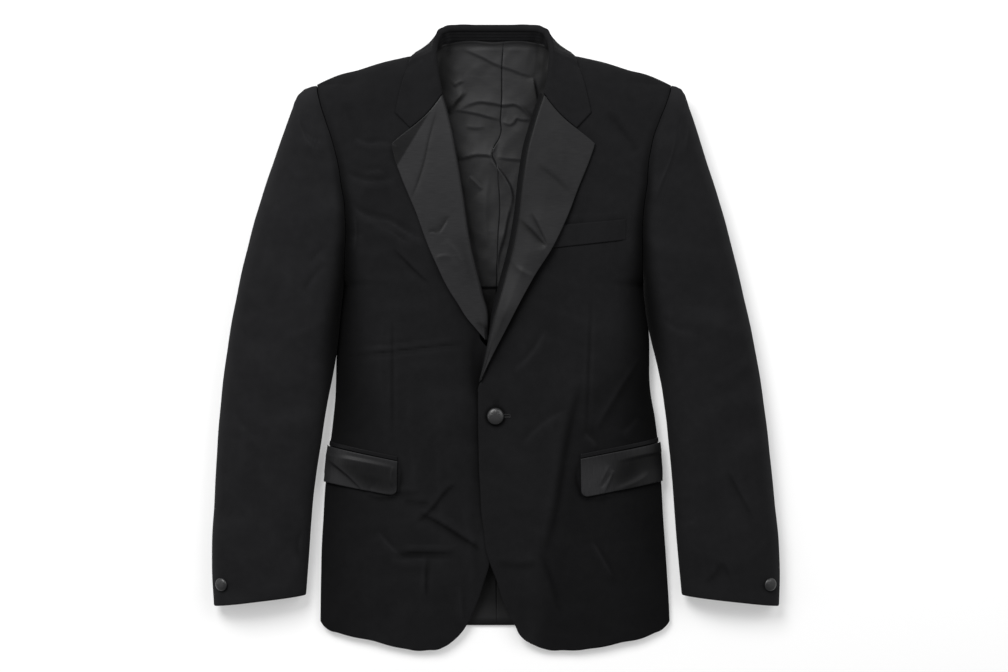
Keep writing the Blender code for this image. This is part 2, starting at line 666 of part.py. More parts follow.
def turned(name, profile, place, axis, finish, sides=20):
    """A solid turned from a profile of radius and height, stood at a place along an axis."""
    profile = np.array(profile, float)
    turn = np.linspace(0, 2 * math.pi, sides, endpoint=False)
    ring = np.column_stack([np.cos(turn), np.sin(turn)])
    plan = profile[:, None, :1] * ring[None]
    height = np.broadcast_to(profile[:, 1:2, None], (len(profile), sides, 1))
    points = np.concatenate([plan, height], axis=2).reshape(-1, 3) * MM
    index = np.arange(len(points)).reshape(len(profile), sides)
    after = np.roll(index, -1, axis=1)
    quads = np.stack([index[:-1], after[:-1], after[1:], index[1:]], axis=-1).reshape(-1, 4)
    faces = quads.tolist() + [index[0].tolist(), index[-1].tolist()]
    mesh = bpy.data.meshes.new(name)
    mesh.from_pydata(points.tolist(), [], faces)
    mesh.materials.append(finish)
    build = bmesh.new()
    build.from_mesh(mesh)
    bmesh.ops.recalc_face_normals(build, faces=build.faces)
    build.to_mesh(mesh)
    build.free()
    mesh.shade_smooth()
    mesh.set_sharp_from_angle(angle=math.radians(50))
    made = bpy.data.objects.new(name, mesh)
    made.location = [value * MM for value in place]
    made.rotation_euler = Vector(axis).to_track_quat("Z", "Y").to_euler()
    bpy.context.scene.collection.objects.link(made)
    return made


def button_profile(width, depth, shank):
    """A covered button: a low dome with a rounded rim, on a thread shank."""
    dome = [(0.06, 1.0), (0.5, 0.95), (0.8, 0.78), (0.96, 0.52), (1.0, 0.3), (0.94, 0.1), (0.8, 0)]
    radius = width / 2
    rim = [(radius * share, depth * height) for share, height in dome]
    return rim + [(SHANK_WIDTH / 2, 0), (SHANK_WIDTH / 2, -shank)]


def make_front_button(name, finish):
    """Sewn to the right front, its shank goes up through the left front's buttonhole."""
    over = float(front_height(1, BUTTON_X, BUTTON_Y))
    under = float(front_height(-1, BUTTON_X, BUTTON_Y))
    place = (BUTTON_X, BUTTON_Y, over + BUTTON_LIFT)
    profile = button_profile(BUTTON_WIDTH, BUTTON_DEPTH, over + BUTTON_LIFT - under - SEAM)
    return turned(name, profile, place, (0, 0, 1), finish)


def cut_buttonhole(front, steps=12):
    """A keyhole buttonhole: a round eye for the shank and a slit away from the front edge."""
    half = BUTTONHOLE_SLIT / 2
    open_turn = math.asin(half / (BUTTONHOLE_EYE / 2))
    turn = np.linspace(open_turn, 2 * math.pi - open_turn, steps)
    eye = np.column_stack([BUTTON_X + BUTTONHOLE_EYE / 2 * np.cos(turn),
                           BUTTON_Y + BUTTONHOLE_EYE / 2 * np.sin(turn)])
    slit = np.array([(BUTTONHOLE_END, BUTTON_Y - half), (BUTTONHOLE_END, BUTTON_Y + half)])
    outline = np.concatenate([eye, slit])
    middle = float(front_height(1, BUTTON_X, BUTTON_Y))
    build = bmesh.new()
    ends = []
    for height in (middle - 8, middle + 8):
        points = [build.verts.new((x * MM, y * MM, height * MM)) for x, y in outline]
        ends.append(points)
        build.faces.new(points)
    for here in range(len(outline)):
        after = (here + 1) % len(outline)
        build.faces.new((ends[0][here], ends[0][after], ends[1][after], ends[1][here]))
    bmesh.ops.recalc_face_normals(build, faces=build.faces)
    mesh = bpy.data.meshes.new("buttonhole_cutter")
    build.to_mesh(mesh)
    build.free()
    cutter = bpy.data.objects.new("buttonhole_cutter", mesh)
    cutter.hide_render = True
    cutter.display_type = "WIRE"
    bpy.context.scene.collection.objects.link(cutter)
    cut = front.modifiers.new("buttonhole", "BOOLEAN")
    cut.operation = "DIFFERENCE"
    cut.object = cutter


def make_cuff_button(name, side, finish):
    """Stands square to the sleeve beside its outer seam."""
    rings = CUFF_BUTTON_RING + np.array([-0.02, 0, 0.02])
    shares = CUFF_BUTTON_SHARE + np.array([-0.02, 0, 0.02])
    near = sleeve_rings(side, True, rings, shares)
    point, normal = near[1, 1], normals(near)[1, 1]
    place = point + normal * CUFF_BUTTON_LIFT
    profile = button_profile(CUFF_BUTTON_WIDTH, CUFF_BUTTON_DEPTH, CUFF_BUTTON_LIFT + SEAM / 3)
    return turned(name, profile, place, normal, finish, 16)


wool = material("wool_barathea", (0.012, 0.012, 0.013), 0.85, 0.2)
satin = material("satin", (0.022, 0.022, 0.024), 0.38)
lining = material("lining", (0.03, 0.03, 0.032), 0.45)
covered = material("covered_button", (0.03, 0.03, 0.03), 0.45)

for side, label, flap in ((-1, "right", RIGHT_FLAP), (1, "left", LEFT_FLAP)):
    front = make_front("front_" + label, side, wool)
    if side > 0:
        cut_buttonhole(front)
    make_side("side_" + label, side, wool)
    make_back("back_" + label, side, wool)
    make_lining("lining_" + label, side, lining)
    make_lapel("lapel_" + label, side, satin)
    make_sleeve_half("top_sleeve_" + label, side, True, wool, 11)
    make_sleeve_half("under_sleeve_" + label, side, False, wool, 9)
    make_flap("flap_" + label, side, flap, satin)
    make_jetting("jetting_" + label, side, flap, satin)
    make_cuff_button("cuff_button_" + label, side, covered)
make_collar("collar", wool)
welt = patch_plan(BREAST_WELT, np.linspace(0, 1, 8), np.array([0, 0.5, 1]))
make_laid("breast_welt", 1, welt, SEAM, WELT_CLOTH, wool)
make_front_button("front_button", covered)
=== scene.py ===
import json
import math

import bpy
import numpy as np
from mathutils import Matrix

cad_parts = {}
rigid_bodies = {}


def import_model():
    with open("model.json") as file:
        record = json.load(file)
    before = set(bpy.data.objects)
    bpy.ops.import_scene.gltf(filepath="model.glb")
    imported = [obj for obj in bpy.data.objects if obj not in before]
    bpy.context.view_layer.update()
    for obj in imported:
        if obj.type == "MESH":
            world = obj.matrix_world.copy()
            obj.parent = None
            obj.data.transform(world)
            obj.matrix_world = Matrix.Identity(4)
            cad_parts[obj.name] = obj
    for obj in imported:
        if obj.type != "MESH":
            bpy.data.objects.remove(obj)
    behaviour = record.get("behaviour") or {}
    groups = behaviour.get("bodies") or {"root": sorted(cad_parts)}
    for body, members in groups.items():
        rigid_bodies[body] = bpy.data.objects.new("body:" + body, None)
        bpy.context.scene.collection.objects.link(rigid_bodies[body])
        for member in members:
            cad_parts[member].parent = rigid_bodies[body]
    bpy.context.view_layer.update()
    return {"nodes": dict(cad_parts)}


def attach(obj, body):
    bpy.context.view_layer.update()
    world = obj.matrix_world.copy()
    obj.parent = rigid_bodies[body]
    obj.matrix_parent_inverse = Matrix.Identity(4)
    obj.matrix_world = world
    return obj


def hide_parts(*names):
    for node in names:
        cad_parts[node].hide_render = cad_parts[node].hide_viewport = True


# A one-button dinner jacket in black barathea with satin lapels and flaps, laid flat on its back.
# Tables and settings are in millimetres; +Y is towards the collar. Side -1 is the wearer's right.

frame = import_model()
print("frame: loaded", len(frame["nodes"]), "nodes")

mm = 0.001
sideNames = {-1: "right", 1: "left"}

cloth = {
    "wool": 2,
    "backWool": 1.8,
    "collarWall": 1.6,
    "satin": 1.2,
    "lining": 1,
    "seam": 0.3,
    "sleeveSeam": 0.35,
    "lay": 0.5,
}
pressed, sewn = 0.35, 0.75  # share of the thickness left at a pressed edge and at a seam
allPressed = (pressed, pressed, pressed, pressed)


# shared curves


def smoothstep(value):
    # 0 below 0, 1 above 1, and a smooth rise between
    share = np.clip(value, 0, 1)
    return share * share * (3 - 2 * share)


def rise(value, span):
    # 0 before a span's start, 1 once its reach is passed; a reach below 0 runs the other way
    start, reach = span
    return smoothstep((value - start) / reach)


def oval(share, power):
    # 1 in the middle, falling to 0 at shares of -1 and 1, where it is upright
    return np.sqrt(np.clip(1 - np.abs(share) ** power, 0, 1))


def curve(knots, values, at):
    # a smooth line through values at rising knots: two straight guesses from the ends, blended
    knots, values, at = np.asarray(knots, float), np.asarray(values, float), np.asarray(at, float)
    slopes = np.gradient(values, knots, axis=0)
    index = np.clip(np.searchsorted(knots, at) - 1, 0, len(knots) - 2)
    width = knots[index + 1] - knots[index]
    share = np.clip((at - knots[index]) / width, 0, 1)
    if values.ndim > 1:
        width, share = width[..., None], share[..., None]
    start = values[index] + share * width * slopes[index]
    end = values[index + 1] - (1 - share) * width * slopes[index + 1]
    blend = smoothstep(share)
    return start * (1 - blend) + end * blend


def tableAt(table, column, at):
    # one column of a table, read smoothly at values of its first
    return curve(table[:, 0], table[:, column], at)


def lengths(points):
    # distance along a line of points, as a share of the whole
    steps = np.linalg.norm(np.diff(points, axis=0), axis=1)
    total = np.concatenate([[0], np.cumsum(steps)])
    return total / total[-1]


def along(points, shares):
    return curve(lengths(points), points, shares)


def spread(count, margin=0.004):
    # even shares from 0 to 1 with one more a small margin in from each end, for the pressed edge
    return np.concatenate([[0], np.linspace(margin, 1 - margin, count - 2), [1]])


# the body's form


body = {
    "middle": -3,
    "neckMiddle": -4.5,
    "underarm": 66,
    "shoulderPoint": 304,
    "hem": -341.5,
    "halfBackHem": 146,
    "halfBackUnderarm": 118,
    "shoulderRoll": 38,
    "shoulderPower": 2.2,
    "crownPower": 7,
    "crownFall": 0.8,
    "chestFall": 0.1,
    "chest": (60, 70),
    "backRise": 185,
    "flatPower": 7,
    "sleevePower": 3,
    "frontOverlap": 2.8,
    "breakOverlap": 9,
    "overlapRise": (-95, 50),    # spans: where a change starts, and over how many millimetres
    "overlapFall": (25, 75),
    "closureReach": 80,
    "closureSpread": 56,
    "armholeHeight": 46,
    "underarmEdge": 18,
    "shoulderEdge": 25,
    "hemSag": 160,
    "hemDrop": 5,
    "hemDropReach": 60,
}

bodyLines = np.array([
    # y, right, left, crown, edge
    (-377, -215, 210, 11, 5),
    (-343, -214, 209, 14, 6),
    (-289, -213, 206, 22, 8),
    (-217, -210, 201, 29, 10),
    (-145, -204, 196.2, 35, 11),
    (-97, -198, 191.1, 39, 11),
    (-49, -194.5, 184.2, 42, 12),
    (-25, -194, 184, 43, 13),
    (23, -189.5, 181.6, 45, 16),
    (66, -184, 175.6, 47, 18),
    (107, -181, 173.6, 49, 18),
    (143, -180.4, 173.8, 50, 18),
    (185, -185.5, 178.8, 51, 18),
    (225, -193, 183, 51, 18),
    (260, -204, 193.5, 50, 18),
    (285, -212, 203.5, 49, 18),
    (304, -216, 209, 48, 18),
    (345, -216, 209, 46, 18),
], float)

shoulderLines = np.array([
    # reach, y, height
    (0, 355.8, 4),
    (50, 355.4, 4),
    (60, 353, 5),
    (72, 346.5, 11),
    (85, 342.6, 20),
    (97, 340, 25),
    (112, 337, 25),
    (162, 323, 25),
    (200, 311, 25),
    (214, 304, 25),
], float)

rightEdge = np.array([
    # x, y
    (-52, -364), (-44, -356), (-37, -346), (-27, -325), (-16, -294), (-8.4, -269), (-1, -240),
    (7, -205), (14, -160), (18, -110), (17, -70), (10, -38), (-4, -14), (-17, -4), (-20.6, 6),
    (-17.5, 18), (-17.5, 45), (-25, 72), (-35, 127), (-45, 180), (-57, 246), (-69, 288),
    (-77, 303), (-78.5, 324), (-78.5, 345),
], float)
leftEdge = np.array([
    # x, y
    (42, -368), (31, -361), (22, -346), (12, -327), (4, -305), (-1, -289), (-8.4, -269),
    (-16, -229), (-20, -180), (-22, -130), (-22.5, -90), (-22.4, -66), (-22.2, -58), (-17.4, -48),
    (-11.2, -34), (-8.8, -22), (-6.6, -8), (0, 25), (8.5, 62), (20, 101), (28, 140), (35.5, 209),
    (47, 258), (60, 288), (68, 303), (69.5, 324), (69.5, 345),
], float)
rightHem = np.array([
    # x, y
    (-52, -364), (-63, -371.5), (-83, -375.8), (-112, -374), (-150, -364.5), (-192, -355),
    (-207, -349.5), (-214.3, -341.5),
], float)
leftHem = np.array([
    # x, y
    (42, -368), (56, -374), (80, -376), (112, -374), (150, -366.5), (190, -355.5),
    (203, -348.5), (209, -341.5),
], float)


def bodySide(side, y):
    # where the body meets a sleeve, and below the underarm its outline
    return tableAt(bodyLines, 1 if side < 0 else 2, y)


def shoulderLine(x):
    # y and height of the shoulder seam, by the distance from the middle of the neck
    reach = np.abs(x - body["neckMiddle"])
    return [tableAt(shoulderLines, column, reach) for column in (1, 2)]


def armholeHeight(y):
    # from the underarm to the shoulder: a straight rise of its ends, and an oval between them
    span = body["shoulderPoint"] - body["underarm"]
    share = np.clip(2 * (y - body["underarm"]) / span - 1, -1, 1)
    edge = body["underarmEdge"] + (body["shoulderEdge"] - body["underarmEdge"]) * (share + 1) / 2
    return edge + (body["armholeHeight"] - edge) * oval(share, body["sleevePower"])


def overlap(y):
    # how far the left front stands above the right one: little at the button, most at the break
    more = (body["breakOverlap"] - body["frontOverlap"]) * rise(y, body["overlapRise"])
    return body["frontOverlap"] + more - body["breakOverlap"] * rise(y, body["overlapFall"])


def frontHeight(side, x, y):
    # crown across the body, falling to the side edge as an oval, then rolled off at the shoulder
    x, y = np.asarray(x, float), np.asarray(y, float)
    middle = body["middle"]
    edgeX = np.where(x < middle, bodySide(-1, y), bodySide(1, y))
    across = np.clip((x - middle) / (edgeX - middle), 0, 1)
    lowEdge = tableAt(bodyLines, 4, y)
    edge = np.where(y > body["underarm"], armholeHeight(y), lowEdge)
    power = body["crownFall"] + body["chestFall"] * rise(y, body["chest"])
    fall = np.clip(1 - across ** body["crownPower"], 0, 1) ** power
    height = edge + (tableAt(bodyLines, 3, y) - edge) * fall
    seamY, seamZ = shoulderLine(x)
    nearSeam = np.clip(1 - (seamY - y) / body["shoulderRoll"], 0, 1)
    height = seamZ + (height - seamZ) * oval(nearSeam, body["shoulderPower"])
    near = smoothstep((body["closureReach"] - side * x) / body["closureSpread"])
    return height + side * 0.5 * near * overlap(y)


# folds: each is (height, narrow side, wide side, chain of points), a ridge or a trough that falls
# off steeply on the left of the chain's way and slowly on its right, with a crest line between


def foldRelief(x, y, folds):
    # height of a fold = its own height * its fall across * a taper towards both ends; the fall is
    # a half bell on the narrow side, and on the wide side an exponential that leaves a sharp crest
    total = np.zeros_like(x)
    for height, narrow, wide, chain in folds:
        chain = np.array(chain, float)
        line = along(chain, np.linspace(0, 1, 6 * len(chain))) if len(chain) > 2 else chain
        reach = 3 * max(narrow, wide)
        low, high = line.min(0) - reach, line.max(0) + reach
        near = (x > low[0]) & (x < high[0]) & (y > low[1]) & (y < high[1])
        if not near.any():
            continue
        point = np.column_stack([x[near], y[near]])[:, None]
        start, step = line[:-1], np.diff(line, axis=0)
        size = (step**2).sum(1)
        share = np.clip(((point - start) * step).sum(2) / size, 0, 1)
        away = point - (start + share[..., None] * step)
        distance = np.linalg.norm(away, axis=2)
        nearest = distance.argmin(1)
        row = np.arange(len(nearest))
        across = step[nearest, 0] * away[row, nearest, 1] - step[nearest, 1] * away[row, nearest, 0]
        gap = distance[row, nearest]
        fall = np.where(across > 0, np.exp(-((gap / narrow) ** 2)), np.exp(-gap / wide))
        place = (nearest + share[row, nearest]) / len(step)
        total[near] += height * fall * (1 - np.abs(2 * place - 1) ** 3)
    return total


def unevenness(x, y, waves, shift=0, creased=False):
    # a gentle unevenness: the sum of six crossed sine waves, each of about the given size and turned
    # at random; creased, each is 1 - twice its own absolute value, a sharp crest, and its lines bend
    size, height, seed = waves
    draws = np.random.default_rng(seed + shift)
    total = np.zeros_like(x)
    bend = 0.25 * size * np.sin(1.9 * (x + 0.6 * y) / size) if creased else 0
    for turn in draws.uniform(0, math.pi, 6):
        wave = 2 * math.pi / (size * draws.uniform(0.7, 1.6))
        turned = (x + bend) * math.cos(turn) + (y - bend) * math.sin(turn)
        value = np.sin(wave * turned / (2 if creased else 1) + draws.uniform(0, 6.3))
        total += 1 - 2 * np.abs(value) if creased else value
    return height * total / 3


def ridges(relief, reach=3):
    # how far each point stands above the mean of its neighbours a few points away
    wide = np.pad(relief, reach, mode="edge")
    rows, columns = relief.shape
    steps = (0, reach, 2 * reach)
    return relief - sum(wide[a:a + rows, b:b + columns] for a in steps for b in steps) / 9


def paintedReliefShade(relief, gain, reach=3):
    # painted light on crests and painted shade in grooves, against plain cloth, which is 1
    return 1 + np.clip(gain * ridges(relief, reach), -0.6, 0.45)


def shade(x, y, lines):
    # painted shade beside lines, told like folds
    return np.clip(1 + foldRelief(x, y, lines), 0.15, 2)


# meshes


def gridNormals(grid, upwards=True):
    normal = np.cross(np.gradient(grid, axis=0), np.gradient(grid, axis=1))
    normal /= np.maximum(np.linalg.norm(normal, axis=2, keepdims=True), 1e-9)
    return normal if (normal[..., 2].sum() > 0) == upwards else -normal


def clothCoordinates(grid, byLength):
    # distance over the cloth: across each row from its start, and up the columns
    across = np.linalg.norm(np.diff(grid, axis=1), axis=2)
    u = np.concatenate([np.zeros((len(grid), 1)), np.cumsum(across, axis=1)], axis=1)
    if byLength:
        up = np.linalg.norm(np.diff(grid, axis=0), axis=2).mean(1)
        v = np.broadcast_to(np.concatenate([[0], np.cumsum(up)])[:, None], u.shape)
        return np.dstack([u - u.mean(1, keepdims=True), v])
    way = np.sign(grid[:, -1, 0].mean() - grid[:, 0, 0].mean())
    return np.dstack([grid[:, :1, 0] + way * u, grid[..., 1]])


def gridArea(grid):
    first = np.cross(grid[1:, :-1] - grid[:-1, :-1], grid[:-1, 1:] - grid[:-1, :-1])
    second = np.cross(grid[1:, :-1] - grid[1:, 1:], grid[:-1, 1:] - grid[1:, 1:])
    return (np.linalg.norm(first, axis=2) + np.linalg.norm(second, axis=2)).sum() / 2


def gridFaces(rows, columns):
    index = np.arange(rows * columns).reshape(rows, columns)
    quads = np.stack([index[:-1, :-1], index[1:, :-1], index[1:, 1:], index[:-1, 1:]], axis=-1)
    return index, quads.reshape(-1, 4)


def addMesh(name, points, faces, finish, coordinates=None, paintedShade=None):
    # puts points in millimetres and faces into a mesh, turned so that its faces point outwards
    corner = points[np.array(faces)[:, :3]] if isinstance(faces, np.ndarray) else None
    if corner is not None:
        fourth = points[faces[:, 3]]
        volume = np.einsum("ij,ij->i", corner[:, 0], np.cross(corner[:, 1], corner[:, 2])).sum()
        volume += np.einsum("ij,ij->i", corner[:, 0], np.cross(corner[:, 2], fourth)).sum()
        if volume < 0:
            faces = faces[:, ::-1]
    mesh = bpy.data.meshes.new(name)
    mesh.from_pydata((points * mm).tolist(), [], faces.tolist())
    if coordinates is not None:
        layer = mesh.uv_layers.new(name="cloth")
        layer.data.foreach_set("uv", (coordinates * mm)[faces.ravel()].astype(np.float32).ravel())
    # a per-point factor of painted light and shade, which the finish multiplies its colour by
    if paintedShade is not None:
        paintedLight = mesh.attributes.new("paintedShade", "FLOAT", "POINT")
        paintedLight.data.foreach_set("value", paintedShade.astype(np.float32))
    mesh.materials.append(finish)
    mesh.shade_smooth()
    piece = bpy.data.objects.new(name, mesh)
    bpy.context.scene.collection.objects.link(piece)
    return piece


def wallHalves(shape, thickness, edges):
    # half of a wall's thickness, less on its first and last row and its first and last column
    half = np.full(shape, thickness / 2)
    half[[0, -1]] *= np.array(edges[:2])[:, None]
    half[1:-1, [0, -1]] *= edges[2:]
    return half[..., None]


def clothPiece(name, outer, thickness, finish, upwards=True, level=(), byLength=False, edges=allPressed,
               paintedShade=None):
    # a closed wall under a grid of points on its outer face, thinner at its edges
    normal = gridNormals(outer, upwards)
    for column in level:
        normal[:, column, 2] = 0
        normal[:, column] /= np.linalg.norm(normal[:, column], axis=1, keepdims=True)
    half = wallHalves(outer.shape[:2], thickness, edges)
    middle = outer - normal * thickness / 2
    upper, lower = middle + normal * half, middle - normal * half
    return closedCloth(name, upper, lower, finish, byLength, paintedShade)


def closedCloth(name, upper, lower, finish, byLength=False, paintedShade=None):
    # two grids joined by a rim; the painted shade factor is 1 on plain cloth, less where shade is painted
    # and more where light is
    index, quads = gridFaces(*upper.shape[:2])
    border = np.concatenate([index[:, 0], index[-1, 1:], index[-2::-1, -1], index[0, -2:0:-1]])
    after, count = np.roll(border, -1), index.size
    rim = np.stack([after, border, border + count, after + count], axis=-1)
    faces = np.concatenate([quads, quads[:, ::-1] + count, rim])
    points = np.concatenate([upper.reshape(-1, 3), lower.reshape(-1, 3)])
    flat = clothCoordinates(upper, byLength).reshape(-1, 2)
    paintedLight = np.broadcast_to(1.0 if paintedShade is None else paintedShade, upper.shape[:2]).ravel()
    piece = addMesh(name + "_cloth", points, faces, finish, np.concatenate([flat, flat]),
                    np.concatenate([paintedLight, paintedLight]))
    piece["flat"] = [max(float(size) * mm, 0.01) for size in np.ptp(flat, axis=0)]
    piece["area"] = float(gridArea(upper)) * mm * mm
    return piece


def dress(piece, node, restsOn=None):
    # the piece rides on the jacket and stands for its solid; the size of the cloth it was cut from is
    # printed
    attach(piece, "root")
    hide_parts(node)
    flat, area = list(piece["flat"]), piece["area"]
    del piece["flat"], piece["area"]
    if restsOn is not None:
        area = min(area, flat[0] * flat[1])
    print("made", piece.name, f"flat {flat[0] * 1000:.0f} x {flat[1] * 1000:.0f} mm")


# finishes


def linear(hexColour):
    # an sRGB hex colour as linear red, green, blue and alpha
    values = [int(hexColour[place:place + 2], 16) / 255 for place in (1, 3, 5)]
    return [v / 12.92 if v <= 0.04045 else ((v + 0.055) / 1.055) ** 2.4 for v in values] + [1.0]


def addNode(tree, kind, settings=None, links=None):
    # one node with its settings, and links from other nodes' outputs to its inputs
    node = tree.nodes.new(kind)
    for name, value in (settings or {}).items():
        if name in node.inputs and not hasattr(node, name):
            node.inputs[name].default_value = value
        else:
            setattr(node, name, value)
    for name, (source, output) in (links or {}).items():
        tree.links.new(source.outputs[output], node.inputs[name])
    return node


def newFinish(name, settings):
    # a material with a plain shader; settings are the shader's own sockets
    finish = bpy.data.materials.new(name)
    finish.use_nodes = True
    tree = finish.node_tree
    shader = tree.nodes["Principled BSDF"]
    for socket, value in settings.items():
        shader.inputs[socket].default_value = value
    return finish, tree, shader


def ramp(tree, source, output, low, high, lowColour, highColour):
    # colours between two places on a grey pattern
    node = addNode(tree, "ShaderNodeValToRGB", {}, {"Fac": (source, output)})
    ends = node.color_ramp.elements
    ends[0].position, ends[1].position = low, high
    ends[0].color, ends[1].color = linear(lowColour), linear(highColour)
    return node


def paintedShadeColour(tree, colour, shader):
    # the cloth's colour times a per-point factor of painted light and shade: lighter crowns and edges,
    # painted shade in hollows and creases
    paintedLight = addNode(tree, "ShaderNodeAttribute", {"attribute_name": "paintedShade"})
    paintedShade = addNode(tree, "ShaderNodeVectorMath", {"operation": "SCALE"},
                     {"Vector": (colour, "Color"), "Scale": (paintedLight, "Fac")})
    tree.links.new(paintedShade.outputs["Vector"], shader.inputs["Base Color"])


wool = {
    "dark": "#141415",
    "light": "#171718",
    "rib": 1.1,      # a barathea rib is 0.5 mm; drawn at 1.1 mm so that it shows
    "fuzz": 1.6,     # millimetres across a tuft of the nap
    "slub": 9,       # millimetres between thicker yarns
    "cloud": 50,     # millimetres across the faint mottling of worn wool
    "roughness": 0.92,
    "specular": 0.035,
    "sheen": 0.015,
    "ribDepth": 0.15,
    "fuzzDepth": 0.2,
}


def makeBarathea(name, dark, light):
    # woven wool barathea: matt and nearly black, with a pebbled broken rib and a faint nap
    finish, tree, shader = newFinish(name, {
        "Roughness": wool["roughness"], "Specular IOR Level": wool["specular"],
        "Sheen Weight": wool["sheen"], "Sheen Roughness": 0.5, "IOR": 1.54,
    })
    place = addNode(tree, "ShaderNodeUVMap", {"uv_map": "cloth"})
    space = addNode(tree, "ShaderNodeTexCoord")
    ribs = addNode(tree, "ShaderNodeTexBrick", {
        "Scale": 1.0, "Brick Width": 2 * wool["rib"] * mm, "Row Height": wool["rib"] * mm,
        "Mortar Size": 0.3 * wool["rib"] * mm, "Mortar Smooth": 1.0, "offset": 0.5,
    }, {"Vector": (place, "UV")})
    fuzz, slubs, clouds = (
        addNode(tree, "ShaderNodeTexNoise", {"Scale": 1 / (wool[size] * mm), "Detail": detail},
                {"Vector": (space, "Object")})
        for size, detail in (("fuzz", 3.0), ("slub", 2.0), ("cloud", 4.0)))
    both = addNode(tree, "ShaderNodeMix", {"data_type": "FLOAT", "Factor": 0.55},
                   {"A": (slubs, "Fac"), "B": (clouds, "Fac")})
    paintedShadeColour(tree, ramp(tree, both, "Result", 0.35, 0.65, dark, light), shader)
    first = addNode(tree, "ShaderNodeBump",
                    {"Strength": 0.35, "Distance": wool["ribDepth"] * mm, "invert": True},
                    {"Height": (ribs, "Fac")})
    second = addNode(tree, "ShaderNodeBump", {"Strength": 0.5, "Distance": wool["fuzzDepth"] * mm},
                     {"Height": (fuzz, "Fac"), "Normal": (first, "Normal")})
    tree.links.new(second.outputs["Normal"], shader.inputs["Normal"])
    return finish


satin = {
    "dark": "#1f1f20",
    "light": "#262627",
    "thread": 0.8,   # satin threads are 0.15 mm; drawn at 0.8 mm so that they show
    "float": 14,     # millimetres that a thread runs before it dips
    "patch": 40,     # millimetres across the uneven gloss
    "roughness": 0.42,
    "specular": 0.09,
    "weaveDepth": 0.08,
}


def makeSatin(name, settings):
    # woven duchess satin: smooth floats that give a broad soft gloss, with the finest lines along them
    finish, tree, shader = newFinish(name, {
        "Roughness": settings["roughness"], "Specular IOR Level": settings["specular"], "IOR": 1.5,
    })
    place = addNode(tree, "ShaderNodeUVMap", {"uv_map": "cloth"})
    space = addNode(tree, "ShaderNodeTexCoord")
    lengthwise = 1 / (settings["float"] * mm)
    stretched = addNode(tree, "ShaderNodeMapping", {
        "Scale": (lengthwise, 1 / (settings["thread"] * mm), lengthwise),
    }, {"Vector": (place, "UV")})
    threads = addNode(tree, "ShaderNodeTexNoise", {"Scale": 1.0, "Detail": 2.0},
                      {"Vector": (stretched, "Vector")})
    patches = addNode(tree, "ShaderNodeTexNoise", {"Scale": 1 / (settings["patch"] * mm), "Detail": 3.0},
                      {"Vector": (space, "Object")})
    paintedShadeColour(tree, ramp(tree, threads, "Fac", 0.3, 0.7, settings["dark"], settings["light"]), shader)
    gloss = addNode(tree, "ShaderNodeMapRange", {
        "From Min": 0.3, "From Max": 0.7,
        "To Min": settings["roughness"] - 0.04, "To Max": settings["roughness"] + 0.06,
    }, {"Value": (patches, "Fac")})
    tree.links.new(gloss.outputs["Result"], shader.inputs["Roughness"])
    weave = addNode(tree, "ShaderNodeBump", {"Strength": 0.25, "Distance": settings["weaveDepth"] * mm},
                    {"Height": (threads, "Fac")})
    tree.links.new(weave.outputs["Normal"], shader.inputs["Normal"])
    return finish


liningCloth = {
    **satin,
    "dark": "#171718",
    "light": "#1e1e1f",
    "thread": 0.7,   # lining twill is 0.2 mm; drawn at 0.7 mm
    "roughness": 0.5,
    "specular": 0.2,
}

barathea = makeBarathea("woven_wool_barathea", wool["dark"], wool["light"])
duchessSatin = makeSatin("woven_duchess_satin", satin)
liningTwill = makeSatin("woven_twill_lining", liningCloth)
jettingSatin = makeSatin("satin_cut_across", {
    **satin, "dark": "#101011", "light": "#151516", "specular": 0.05,
})
coveredSatin = makeSatin("satin_covered_button", {
    **satin, "dark": "#171718", "light": "#1d1d1e", "roughness": 0.36, "specular": 0.5,
})
print("finishes: made")


# fronts, sides, backs and linings


front = {
    "rows": 262,
    "columns": 130,
    "crowding": 0.35,        # how far the columns crowd towards the side
    "rising": ((0, 0.12, 0.5, 0.93, 1), (0, 0.1, 0.5, 0.96, 1)),   # the side's rows, share by share
    "liftFrom": 200,
    "waves": (75, 0.35, 11),     # size, height and seed of its unevenness
    "creasedWaves": (54, 0.34, 41),
    "calmAtSeam": 14,        # millimetres over which folds rise from a seam
    "lap": (-16, -12),       # the right front is smooth inward of here, where the left one lies on it
    "reliefShadeGain": 0.55,
    # painted shade on the left skirt, which hangs a little away from the light, and a painted shadow round
    # the front button
    "skirtShade": 0.26,
    "skirtLine": (62, -236, 0.21, 24),   # a point of the line, its slope, and the shade's reach
    "skirtFade": (-10, -60),
    "buttonShade": 0.7,
    "buttonShadeAt": 10.5,
    "buttonShadeWidth": 2.6,
}

